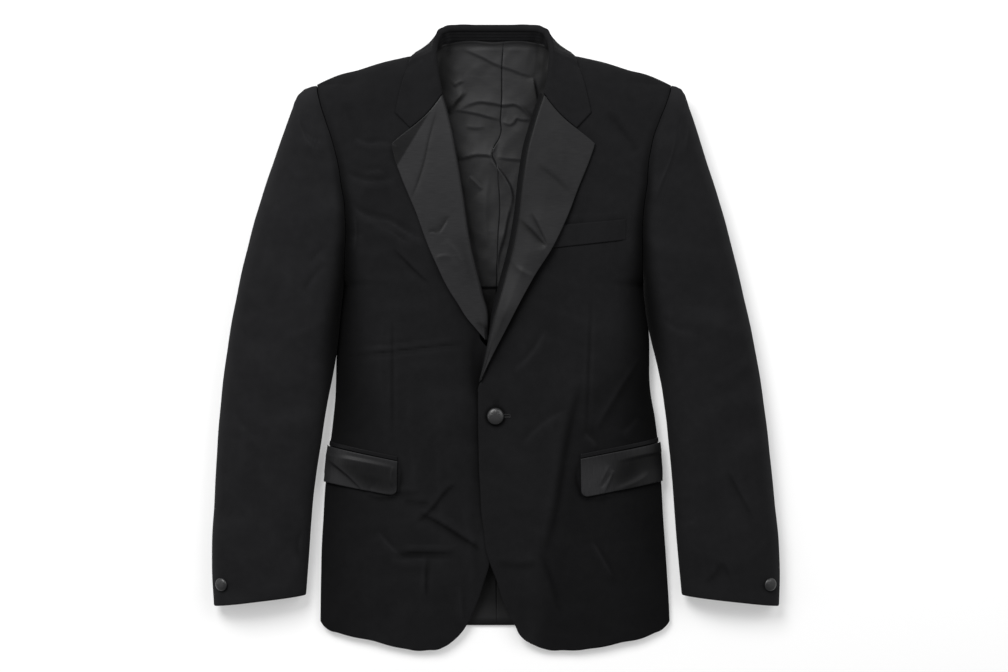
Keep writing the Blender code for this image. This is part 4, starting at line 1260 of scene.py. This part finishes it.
def collarLine(side, row):
    # across the collar at one station: leaf from its edge, half a turn of fold, then the stand
    reach, y, z, turn, stand, edgeReach, edgeY, edgeZ, neckReach, neckY, neckZ = row
    turn, stand = math.radians(turn), math.radians(stand)
    out, up = np.array([side * math.cos(turn), math.sin(turn), 0]), np.array([0, 0, 1])
    opening = math.cos(stand) * out - math.sin(stand) * up
    over = math.cos(stand) * up + math.sin(stand) * out
    centre = np.array([body["neckMiddle"] + side * reach, y, z]) + collar["roll"] * opening
    angle = foldArc(collar["foldSteps"])[:, None]
    arc = centre + collar["roll"] * (np.sin(angle) * over - np.cos(angle) * opening)
    edge = np.array([body["neckMiddle"] + side * edgeReach, edgeY, edgeZ or 0])
    share = np.linspace(0, 1, collar["leafColumns"])[:, None]
    if edgeZ is None:
        leaf = edge[:2] + (arc[0, :2] - edge[:2]) * share
        base = frontHeight(side, leaf[:, 0], leaf[:, 1]) + cloth["lay"] + cloth["collarWall"]
        lift = (arc[0, 2] - base[-1]) * share[:, 0] ** 1.6
        leaf = np.column_stack([leaf, base + lift])
    else:
        hang = edge + (arc[0] - edge) * np.array([0.9, 0.9, 0.15])
        leaf = edge * (1 - share) ** 2 + hang * 2 * share * (1 - share) + arc[0] * share**2
    neck = np.array([body["neckMiddle"] + side * neckReach, neckY, neckZ])
    down = np.linspace(0, 1, collar["standSteps"])[1:, None]
    return np.concatenate([leaf, arc[1:], arc[-1] + (neck - arc[-1]) * down])


def collarGorge(side):
    # the front end, along the gorge from the notch to the roll, just above the lapel's own end
    columns, steps = collar["leafColumns"], collar["foldSteps"]
    line = lapelGrid(side, np.array([1.0]), columns, steps, False)[0]
    beyondNotch = np.linspace(collar["notchShare"], 1, columns)
    leaf = curve(np.linspace(0, 1, columns), line[:columns], beyondNotch)
    fold = line[columns:columns + steps - 1]
    down = np.linspace(0, 1, collar["standSteps"])[1:, None]
    return np.concatenate([leaf, fold, fold[-1] + (line[-1] - fold[-1]) * down]) + collar["gorgeGap"]


def makeCollar():
    # the stations joined by smooth lines along the collar, the leaf kept clear of the fronts
    right = [collarGorge(-1)] + [collarLine(-1, row) for row in collarStations]
    left = [collarGorge(1)] + [collarLine(1, row) for row in collarStations[:-1]]
    lines = np.array(right + left[::-1])
    count = len(lines)
    places = (count - 1) * spread(collar["rows"], 0.002)
    grid = curve(np.arange(1, count - 1), lines[1:-1].reshape(count - 2, -1), places)
    grid = grid.reshape(len(places), -1, 3)
    for end, near in ((lines[:2], places < 1), (lines[:-3:-1], places > count - 2)):
        # straight from the gorge to the first station, so that the collar's corner stays sharp
        share = np.minimum(places, count - 1 - places)[near][:, None, None]
        grid[near] = end[0] + (end[1] - end[0]) * share
    columns = collar["leafColumns"]
    leaf = grid[:, :columns]
    for side in (-1, 1):
        near = (places if side < 0 else count - 1 - places) < collar["onFronts"]
        x, y = leaf[near][..., 0], leaf[near][..., 1]
        clear = frontSurface(side, x, y) + cloth["lay"] + cloth["collarWall"]
        lift = np.maximum(clear - leaf[near][..., 2], 0)
        onFront = smoothstep((shoulderLine(x)[0] - y) / 3)
        grid[near, :columns, 2] += lift * onFront
    stand = slice(-collar["standSteps"], None)
    down = np.linspace(0, 1, collar["standSteps"])[None, :]
    stitches = sum(np.exp(-(((down - row) / collar["stitchWidth"]) ** 2)) for row in collar["stitchRows"])
    grid[:, stand] -= gridNormals(grid)[:, stand] * (stitches * collar["stitchDepth"])[..., None]
    # painted light on the left half and the stand's middle, painted shade at the stand's ends and in its
    # stitch lines
    paintedLight = 1 + collar["leftLight"] * rise(grid[..., 0], collar["leftLightOver"])
    reach = np.abs(grid[:, stand, 0] - body["neckMiddle"])
    inMiddle = rise(reach, collar["standMiddle"])
    paintedPale = collar["standLight"] * (1 - 0.4 * stitches)
    paintedLight[:, stand] = collar["standEndShade"] + inMiddle * (paintedPale - collar["standEndShade"])
    piece = clothPiece("collar", grid, cloth["collarWall"], barathea, byLength=True, paintedShade=paintedLight)
    dress(piece, "collar", ["front_right", "front_left", "back_right", "back_left"])


# sleeves


sleeveRings = np.array([
    # outer end: right, left, y; inner end: right, left, y; height, innerEdge, outerEdge
    (-216, 209, 304, -184, 175.6, 66, 46, 18, 25),
    (-226, 217.5, 301.5, -184.1, 175.7, 63.5, 48, 18.4, 25),
    (-235, 223.5, 296, -184.3, 175.9, 61, 50, 19, 25),
    (-241.5, 227.5, 287, -184.5, 176, 58.5, 51.5, 19.5, 25),
    (-245.5, 231, 276, -184.8, 176.2, 55, 52, 20, 25),
    (-254, 239, 253, -185.7, 176.8, 48, 52, 20, 24),
    (-268, 251.5, 213, -186.8, 178.2, 38, 52, 20, 23),
    (-284, 267, 165, -188.5, 180.2, 22, 52, 20, 22),
    (-299.3, 282, 110, -191.4, 186.2, -6, 51, 20, 22),
    (-312.9, 296.5, 50, -196.6, 194.4, -40, 50, 19, 21),
    (-324.3, 310.5, -15, -204.5, 201.2, -80, 48, 19, 20),
    (-332.3, 321, -80, -211.6, 206.4, -126, 46, 19, 19),
    (-337, 328.3, -140, -218.4, 210.7, -170, 44, 18, 18),
    (-340.3, 334.5, -200, -223, 214, -214, 42, 17, 17),
    (-343.3, 340, -260, -226, 217.5, -256, 39, 16, 16),
    (-341, 339.8, -321, -230, 222.5, -308, 35, 15, 15),
], float)

sleeveFolds = {
    # height, narrow side, wide side, chain: creased heads, and a few faint breaks down the sleeves
    "right": (
        (1, 1.6, 5, ((-238, 272), (-231, 246), (-222, 232), (-208, 226))),
        (0.8, 1.6, 5, ((-230, 246), (-216, 236), (-202, 234))),
        (-0.7, 1.8, 5, ((-204, 112), (-214, 102), (-224, 90))),
        (-0.8, 1.8, 5, ((-202, 92), (-214, 80), (-226, 64), (-232, 56))),
        (0.5, 3, 9, ((-200, 30), (-226, 12), (-256, 4))),
        (0.5, 3, 10, ((-318, -84), (-296, -112), (-266, -124))),
        (-1, 2, 6, ((-232, -226), (-238, -244), (-235, -264))),
    ),
    "left": (
        (1.2, 2, 6, ((213, 250), (205, 212), (192, 180), (188, 164))),
        (1, 1.8, 5, ((226, 282), (227, 251), (222, 220))),
        (0.6, 2.5, 8, ((192, 26), (214, 10), (240, 6))),
        (0.8, 2, 6, ((213, -218), (226, -221), (240, -213))),
        (0.5, 3, 10, ((304, -16), (282, -40), (256, -52))),
        (-1, 1.6, 5, ((274, -156), (290, -186), (307, -216))),
        (-0.9, 1.6, 5, ((249, -293), (261, -279), (268, -266))),
        (-0.6, 1.6, 4, ((268, -266), (274, -276), (280, -288))),
    ),
}

sleeve = {
    "topGrid": (200, 84),
    "underGrid": (130, 36),
    "fanFade": 7,            # rings over which the armhole's curve dies out
    "topWaves": (80, 0.4, 31),      # size, height and seed of its unevenness
    "underWaves": (80, 0.1, 31),
    "creasedWaves": (56, 0.34, 51),
    "underShare": 0.4,       # of the folds, on the hidden half
    "reliefShadeGain": 0.5,
    # painted light on each sleeve's crown, and more on its outer edge
    "paintedLight": {"right": 1.26, "left": 1.1},
    "outerLight": 1.66,        # paler on the outer edge, over this share of the width
    "outerReach": 0.12,
}


def sleeveGrid(side, top, rings, share):
    # rings that fan round the underarm, each straight in plan; on top, height = edge + (crown - edge)
    # * oval across the ring, and underneath, edge * (1 - oval), so that the sleeve lies flat
    table = curve(np.arange(len(sleeveRings)), sleeveRings, rings)
    columns = [column[:, None] for column in table.T]
    outerX, innerX = (columns[0], columns[3]) if side < 0 else (columns[1], columns[4])
    outerY, innerY, height, innerEdge, outerEdge = columns[2], *columns[5:]
    share = share[None]
    alongRing = (share + 1) / 2
    y = innerY + (outerY - innerY) * alongRing
    x = innerX + (outerX - innerX) * alongRing
    armholeY = body["underarm"] + (body["shoulderPoint"] - body["underarm"]) * alongRing
    armholeX = bodySide(side, armholeY)
    bulge = armholeX - armholeX[:, :1] - (armholeX[:, -1:] - armholeX[:, :1]) * alongRing
    fade = np.clip(1 - rings / sleeve["fanFade"], 0, 1)[:, None] ** 1.6
    x = x + bulge * fade + side * cloth["sleeveSeam"] * (1 - np.minimum(rings, 1))[:, None]
    edge = innerEdge + (outerEdge - innerEdge) * alongRing
    if top:
        z = edge + cloth["seam"] / 2 + (height - edge) * oval(share, body["sleevePower"])
    else:
        z = (edge - cloth["seam"] / 2) * (1 - oval(share, body["flatPower"]))
    return np.dstack([x, y, z])


def makeSleeve(side, label):
    for half in ("top", "under"):
        top, name = half == "top", half + "_sleeve_" + label
        ringCount, count = sleeve[half + "Grid"]
        rings = (len(sleeveRings) - 1) * spread(ringCount, 0.002)
        share = -np.cos(np.linspace(0, math.pi, count))
        grid = sleeveGrid(side, top, rings, share)
        x, y = grid[..., 0], grid[..., 1]
        inside = (1 - share[None] ** 6) * smoothstep(rings / 0.5)[:, None]
        folds = foldRelief(x, y, sleeveFolds[label]) * (1 if top else sleeve["underShare"])
        folds += unevenness(x, y, sleeve["creasedWaves"], side, True)
        relief = folds + unevenness(x, y, sleeve[half + "Waves"], side + 2 * top)
        relief = relief * inside if top else -np.maximum(relief, 0) * inside
        outer = grid + gridNormals(grid, top) * relief[..., None]
        # painted light on the crown and outer edge, painted shade by the body and in its creases
        crown = sleeve["paintedLight"][label]
        atOuter = smoothstep(1 - (1 - share[None]) / 2 / sleeve["outerReach"])
        paintedPale = crown + (sleeve["outerLight"] - crown) * atOuter
        paintedLight = paintedPale * paintedShadeAtSide(side, x, y, True) * paintedReliefShade(relief, sleeve["reliefShadeGain"])
        piece = clothPiece(name, outer, cloth["wool"], barathea, upwards=top, level=[0, -1],
                           byLength=True, edges=(sewn, pressed, sewn, sewn), paintedShade=paintedLight)
        # cut as long as its outer seam, and as wide as its area over the mean of its two seams
        seams = np.linalg.norm(np.diff(outer[:, [0, -1]], axis=0), axis=2).sum(0) * mm
        piece["flat"] = [piece["area"] / float(seams.mean()), float(seams.max())]
        dress(piece, name, ["under_sleeve_" + label] if top else ["floor"])


# flaps, jettings and breast welt


pocket = {
    # corners: the top edge from the middle outwards, then the lower edge back
    "flap": {"right": ((-119, -146), (-206, -128), (-206, -172), (-120, -188)),
             "left": ((100, -143), (197, -124), (197, -171), (101, -190))},
    "breastWelt": ((56, 133.5), (153.6, 142.5), (153.6, 118), (56, 107)),
    "flapCloth": 1.6,
    "flapCorner": 9,
    "flapFlare": 2,
    "flapGrid": (110, 52),       # points along and down
    "jettingGrid": (90, 10),
    "weltGrid": (90, 24),
    "jettingWidth": 5,
    "jettingCloth": 1,
    "weltCloth": 1.4,
    "weltSink": 1.2,     # how far the welt's outer end goes in, and where along it
    "weltEnd": (0.9, 0.1),
    "reliefShadeGain": 0.4,
}

flapFolds = {
    "right": (
        (1.9, 3, 14, ((-208, -139), (-170, -145), (-121, -155))),
        (2.6, 2, 12, ((-157, -183), (-169, -170), (-182, -158), (-200, -144))),
        (0.9, 1.5, 4, ((-122, -184), (-138, -184), (-152, -180))),
        (1.1, 1.8, 3, ((-125, -176), (-126, -164), (-124, -152))),
    ),
    "left": (
        (1.9, 2, 5, ((139, -156), (133, -170), (126, -186))),
        (1.3, 1.8, 4, ((134, -150), (128, -162), (121, -176))),
        (-1.2, 2, 3, ((135.5, -160), (130, -169), (124, -178))),
        (1.8, 3, 12, ((198, -134), (172, -138), (142, -145))),
        (1.8, 4, 10, ((140, -181), (160, -174), (182, -161))),
        (1.2, 3, 6, ((206, -172), (202, -162), (198, -150))),
    ),
}


def laid(side, plan, lift):
    # plan points moved out from a front along its slope; past the side they stay at its edge
    step = 0.4
    y = plan[..., 1]
    limit = np.abs(bodySide(side, y)) - 2 * step
    x = np.clip(plan[..., 0], -limit, limit)
    slopeX = (frontHeight(side, x + step, y) - frontHeight(side, x - step, y)) / (2 * step)
    slopeY = (frontHeight(side, x, y + step) - frontHeight(side, x, y - step)) / (2 * step)
    normal = np.dstack([-slopeX, -slopeY, np.ones_like(x)])
    normal /= np.linalg.norm(normal, axis=2, keepdims=True)
    place = np.dstack([x, y, frontHeight(side, x, y) + np.maximum(frontRelief(side, x, y), 0)])
    return place + normal * np.asarray(lift)[..., None]


def patchPlan(corners, across, down, corner=0.0):
    # a four-sided piece whose lower corner nearest the middle is a quarter round
    topStart, topEnd, bottomEnd, bottomStart = np.array(corners, float)
    across, down = across[:, None, None], down[None, :, None]
    top = topStart + (topEnd - topStart) * across
    bottom = bottomStart + (bottomEnd - bottomStart) * across
    width, height = np.linalg.norm(bottomEnd - bottomStart), np.linalg.norm(bottomStart - topStart)
    inside = np.clip(1 - across * width / corner, 0, 1) if corner else 0 * across
    depth = 1 - corner / height * (1 - np.sqrt(1 - inside**2))
    return top + (bottom - top) * down * depth


flapShades = {
    # rows from the top edge down, columns from the end near the middle outwards: painted light and shade
    # on the satin
    "right": (
        (0.95, 0.95, 0.95, 0.95, 0.9),
        (0.62, 0.55, 0.55, 0.7, 0.85),
        (0.55, 0.45, 0.42, 0.5, 0.95),
        (0.55, 0.42, 0.5, 0.93, 0.93),
        (0.9, 0.8, 1.1, 1, 0.9),
    ),
    "left": (
        (0.8, 0.7, 0.66, 0.72, 0.5),
        (1.05, 0.95, 0.5, 0.34, 0.36),
        (1.15, 1.05, 0.34, 0.27, 0.32),
        (1.2, 1.05, 0.38, 0.5, 0.4),
        (1.05, 1.2, 0.55, 0.55, 0.45),
    ),
}


def flapPaintedShade(label, across, down):
    # the table of painted light and shade, drawn smoothly over the flap
    table = np.array(flapShades[label])
    knots = np.linspace(0, 1, len(table))
    return curve(knots, curve(knots, table, down).T, across)


def makeLaid(name, side, plan, gap, thickness, finish, flare=0.0, relief=0.0, paintedShade=None):
    lift = gap + flare * np.linspace(0, 1, len(plan))[:, None] ** 2 + 0 * plan[..., 0]
    half = wallHalves(plan.shape[:2], thickness, allPressed)[..., 0]
    middle = lift + thickness / 2 + relief
    upper, lower = laid(side, plan, middle + half), laid(side, plan, middle - half)
    piece = closedCloth(name, upper, lower, finish, byLength=True, paintedShade=paintedShade)
    dress(piece, name, ["front_" + sideNames[side]])


def makePocket(side, label):
    corners = pocket["flap"][label]
    columns, rows = pocket["flapGrid"]
    across, down = spread(columns, 0.01) ** 1.2, spread(rows, 0.015)
    plan = patchPlan(corners, across, down, pocket["flapCorner"])
    relief = np.maximum(foldRelief(plan[..., 0], plan[..., 1], flapFolds[label]), -0.2)
    # painted light and shade from flapShades, with painted shade in its creases
    makeLaid("flap_" + label, side, plan, cloth["lay"], pocket["flapCloth"], duchessSatin,
             pocket["flapFlare"], relief, flapPaintedShade(label, across, down) * paintedReliefShade(relief, pocket["reliefShadeGain"], 2))
    start, end = np.array(corners[0], float), np.array(corners[1], float)
    low = np.array([0, 2 * cloth["seam"]])
    high = low + (0, pocket["jettingWidth"])
    columns, rows = pocket["jettingGrid"]
    outline = (start + high, end + high, end + low, start + low)
    strip = patchPlan(outline, spread(columns), spread(rows, 0.08))
    makeLaid("jetting_" + label, side, strip, cloth["lay"], pocket["jettingCloth"], jettingSatin)


def makeBreastWelt():
    columns, rows = pocket["weltGrid"]
    across = spread(columns, 0.01)
    plan = patchPlan(pocket["breastWelt"], across, spread(rows, 0.03))
    sunk = -pocket["weltSink"] * rise(across[:, None], pocket["weltEnd"]) + 0 * plan[..., 0]
    makeLaid("breast_welt", 1, plan, cloth["seam"], pocket["weltCloth"], barathea, relief=sunk)


# buttons and buttonhole


buttonhole = {
    "start": 7.2,
    "end": 16.8,
    "half": 2.8,
    "purl": 0.45,      # height of the stitched edges beside the slit
    "purlAt": 1.4,
    "purlWidth": 0.42,
    "barAt": 0.9,      # the bar across its outer end, in from the end
    "barHalf": 1.8,
    "barWidth": 0.5,
    "stitch": 0.8,     # millimetres between stitches
    "sunk": 0.5,       # how far its underside goes into the front
    "grid": (90, 31),
}


def disc(steps):
    # a square grid drawn into a round: each point pulled in by half the square of the other share
    share = np.sin(np.linspace(-math.pi / 2, math.pi / 2, steps))
    u, v = np.meshgrid(share, share)
    return u * np.sqrt(1 - v * v / 2), v * np.sqrt(1 - u * u / 2)


def turnedTo(normal):
    # two directions across a button's axis
    first = np.cross((0, 1, 0), normal)
    first /= np.linalg.norm(first)
    return first, np.cross(normal, first)


def makeButton(name, place, normal, width, depth, lift):
    # a covered dome: height = 0.3 + 0.7 * (1 - reach^3.4)^0.6 of its depth, puckered half way out
    u, v = disc(button["steps"])
    reach, turn = np.clip(np.hypot(u, v), 0, 1), np.arctan2(v, u)
    height = depth * (0.3 + 0.7 * (1 - reach**3.4) ** 0.6)
    pull = np.exp(-(((reach - button["puckerAt"]) / button["puckerWidth"]) ** 2)) * np.clip(v + 0.45, 0, 1)
    height += button["pucker"] * pull * np.sin(button["puckers"] * turn + 2 * np.sin(3 * turn))
    first, second = turnedTo(normal)
    flat = (u[..., None] * first + v[..., None] * second) * width / 2
    seat = place + normal * lift
    dome = seat + flat + height[..., None] * normal
    cover = closedCloth(name, dome, seat + 0.8 * flat, coveredSatin, True)
    stem, sunk = flat[::4, ::4] * button["shank"] / width, 0.1 * normal
    thread = closedCloth(name + "_shank", seat + stem - sunk, place + stem + sunk, coveredSatin)
    for part in (cover, thread):
        dress(part, name)


def makeButtonhole():
    # a worked slit: two stitched edges with a groove between, in painted shade, fading out at its border
    long, wide = buttonhole["grid"]
    share, across = np.linspace(0, 1, long), np.linspace(-1, 1, wide) * buttonhole["half"]
    x = buttonhole["start"] + (buttonhole["end"] - buttonhole["start"]) * share
    plan = np.dstack(np.broadcast_arrays(x[:, None], button["place"][1] + across))
    purl = np.exp(-(((np.abs(across) - buttonhole["purlAt"]) / buttonhole["purlWidth"]) ** 2))
    fromBar = x - buttonhole["end"] + buttonhole["barAt"]
    onBar = np.abs(across) < buttonhole["barHalf"]
    bar = np.exp(-((fromBar / buttonhole["barWidth"]) ** 2))[:, None] * onBar
    stitches = 0.8 + 0.2 * np.sin(2 * math.pi * x / buttonhole["stitch"])
    relief = buttonhole["purl"] * np.maximum(purl * stitches[:, None], bar)
    fade = smoothstep(5 * np.minimum(share, 1 - share))[:, None]
    lift = 0.05 + relief * fade * smoothstep(4 - 4 * np.abs(across) / buttonhole["half"])
    # painted shade in the slit and on its upper stitched edge
    paintedLight = 0.25 + 0.9 * relief / buttonhole["purl"] * np.where(across > 0, 0.6, 1)
    upper, lower = laid(1, plan, lift), laid(1, plan, lift * 0 - buttonhole["sunk"])
    piece = closedCloth("buttonhole", upper, lower, duchessSatin, True, paintedLight)
    dress(piece, "front_left")


def makeButtons():
    place = np.array(button["place"])
    seat = np.array([*place, float(frontSurface(1, place[:1], place[1:])[0])])
    up = np.array([0, 0, 1.0])
    makeButton("front_button", seat, up, button["width"], button["depth"], button["lift"])
    near = np.array([-0.02, 0, 0.02])
    for side, label in sideNames.items():
        grid = sleeveGrid(side, True, button["cuffRing"] + near, button["cuffShare"] + near)
        makeButton("cuff_button_" + label, grid[1, 1], gridNormals(grid)[1, 1], button["cuffWidth"],
                   button["cuffDepth"], button["cuffLift"])
    makeButtonhole()


for side, label in sideNames.items():
    makeLapel(side, label)
    makeSleeve(side, label)
    makePocket(side, label)
makeCollar()
makeBreastWelt()
makeButtons()
print("lapels, collar, sleeves, pockets and buttons: made")


# light, floor and camera


studio = {
    "world": 0.3,
    "key": (-900, 1500, 2000, 1300, 72),   # x, y, z, size, watts
    "fill": (1300, 900, 1700, 1300, 20),
    "left": (-1700, 0, 900, 1200, 6),
    "right": (1700, -100, 900, 1200, 3),
    "floorColour": "#c9c9c9",
    "floorGlow": 0.33,
    "floorHalf": 4000,
    "floorDepth": 0.4,       # how far under the jacket the floor lies
    "cameraHeight": 2425,
    "focusHeight": 25,
    "frameWidth": 1209.6,
    "centre": (8.4, 3.6),
    "sensor": 36,
}


def makeFloor():
    half, z = studio["floorHalf"], -studio["floorDepth"]
    points = np.array([(-half, -half, z), (half, -half, z), (half, half, z), (-half, half, z)])
    finish, tree, shader = newFinish("matt_paper_floor", {
        "Base Color": linear(studio["floorColour"]), "Roughness": 1.0, "Specular IOR Level": 0.0,
        "Emission Color": (1, 1, 1, 1), "Emission Strength": studio["floorGlow"],
    })
    mesh = bpy.data.meshes.new("floor")
    mesh.from_pydata((points * mm).tolist(), [], [(0, 1, 2, 3)])
    mesh.materials.append(finish)
    floor = bpy.data.objects.new("floor", mesh)
    bpy.context.scene.collection.objects.link(floor)


def makeLight(name, x, y, z, size, watts):
    light = bpy.data.lights.new(name, "AREA")
    light.shape, light.size, light.energy = "SQUARE", size * mm, watts
    lamp = bpy.data.objects.new(name, light)
    lamp.location = (x * mm, y * mm, z * mm)
    lamp.rotation_mode = "QUATERNION"
    lamp.rotation_quaternion = (-lamp.location).to_track_quat("-Z", "Y")
    bpy.context.scene.collection.objects.link(lamp)


def makeCamera():
    camera = bpy.data.cameras.new("camera")
    camera.sensor_width = studio["sensor"]
    distance = studio["cameraHeight"] - studio["focusHeight"]
    camera.lens = studio["sensor"] * distance / studio["frameWidth"]
    holder = bpy.data.objects.new("camera", camera)
    holder.location = (studio["centre"][0] * mm, studio["centre"][1] * mm, studio["cameraHeight"] * mm)
    bpy.context.scene.collection.objects.link(holder)
    bpy.context.scene.camera = holder


makeFloor()
for name in ("key", "fill", "left", "right"):
    makeLight(name, *studio[name])
world = bpy.data.worlds.new("studio")
world.use_nodes = True
background = world.node_tree.nodes["Background"].inputs
background["Color"].default_value = (1, 1, 1, 1)
background["Strength"].default_value = studio["world"]
bpy.context.scene.world = world
bpy.context.scene.view_settings.view_transform = "Standard"
makeCamera()
print("studio: made")
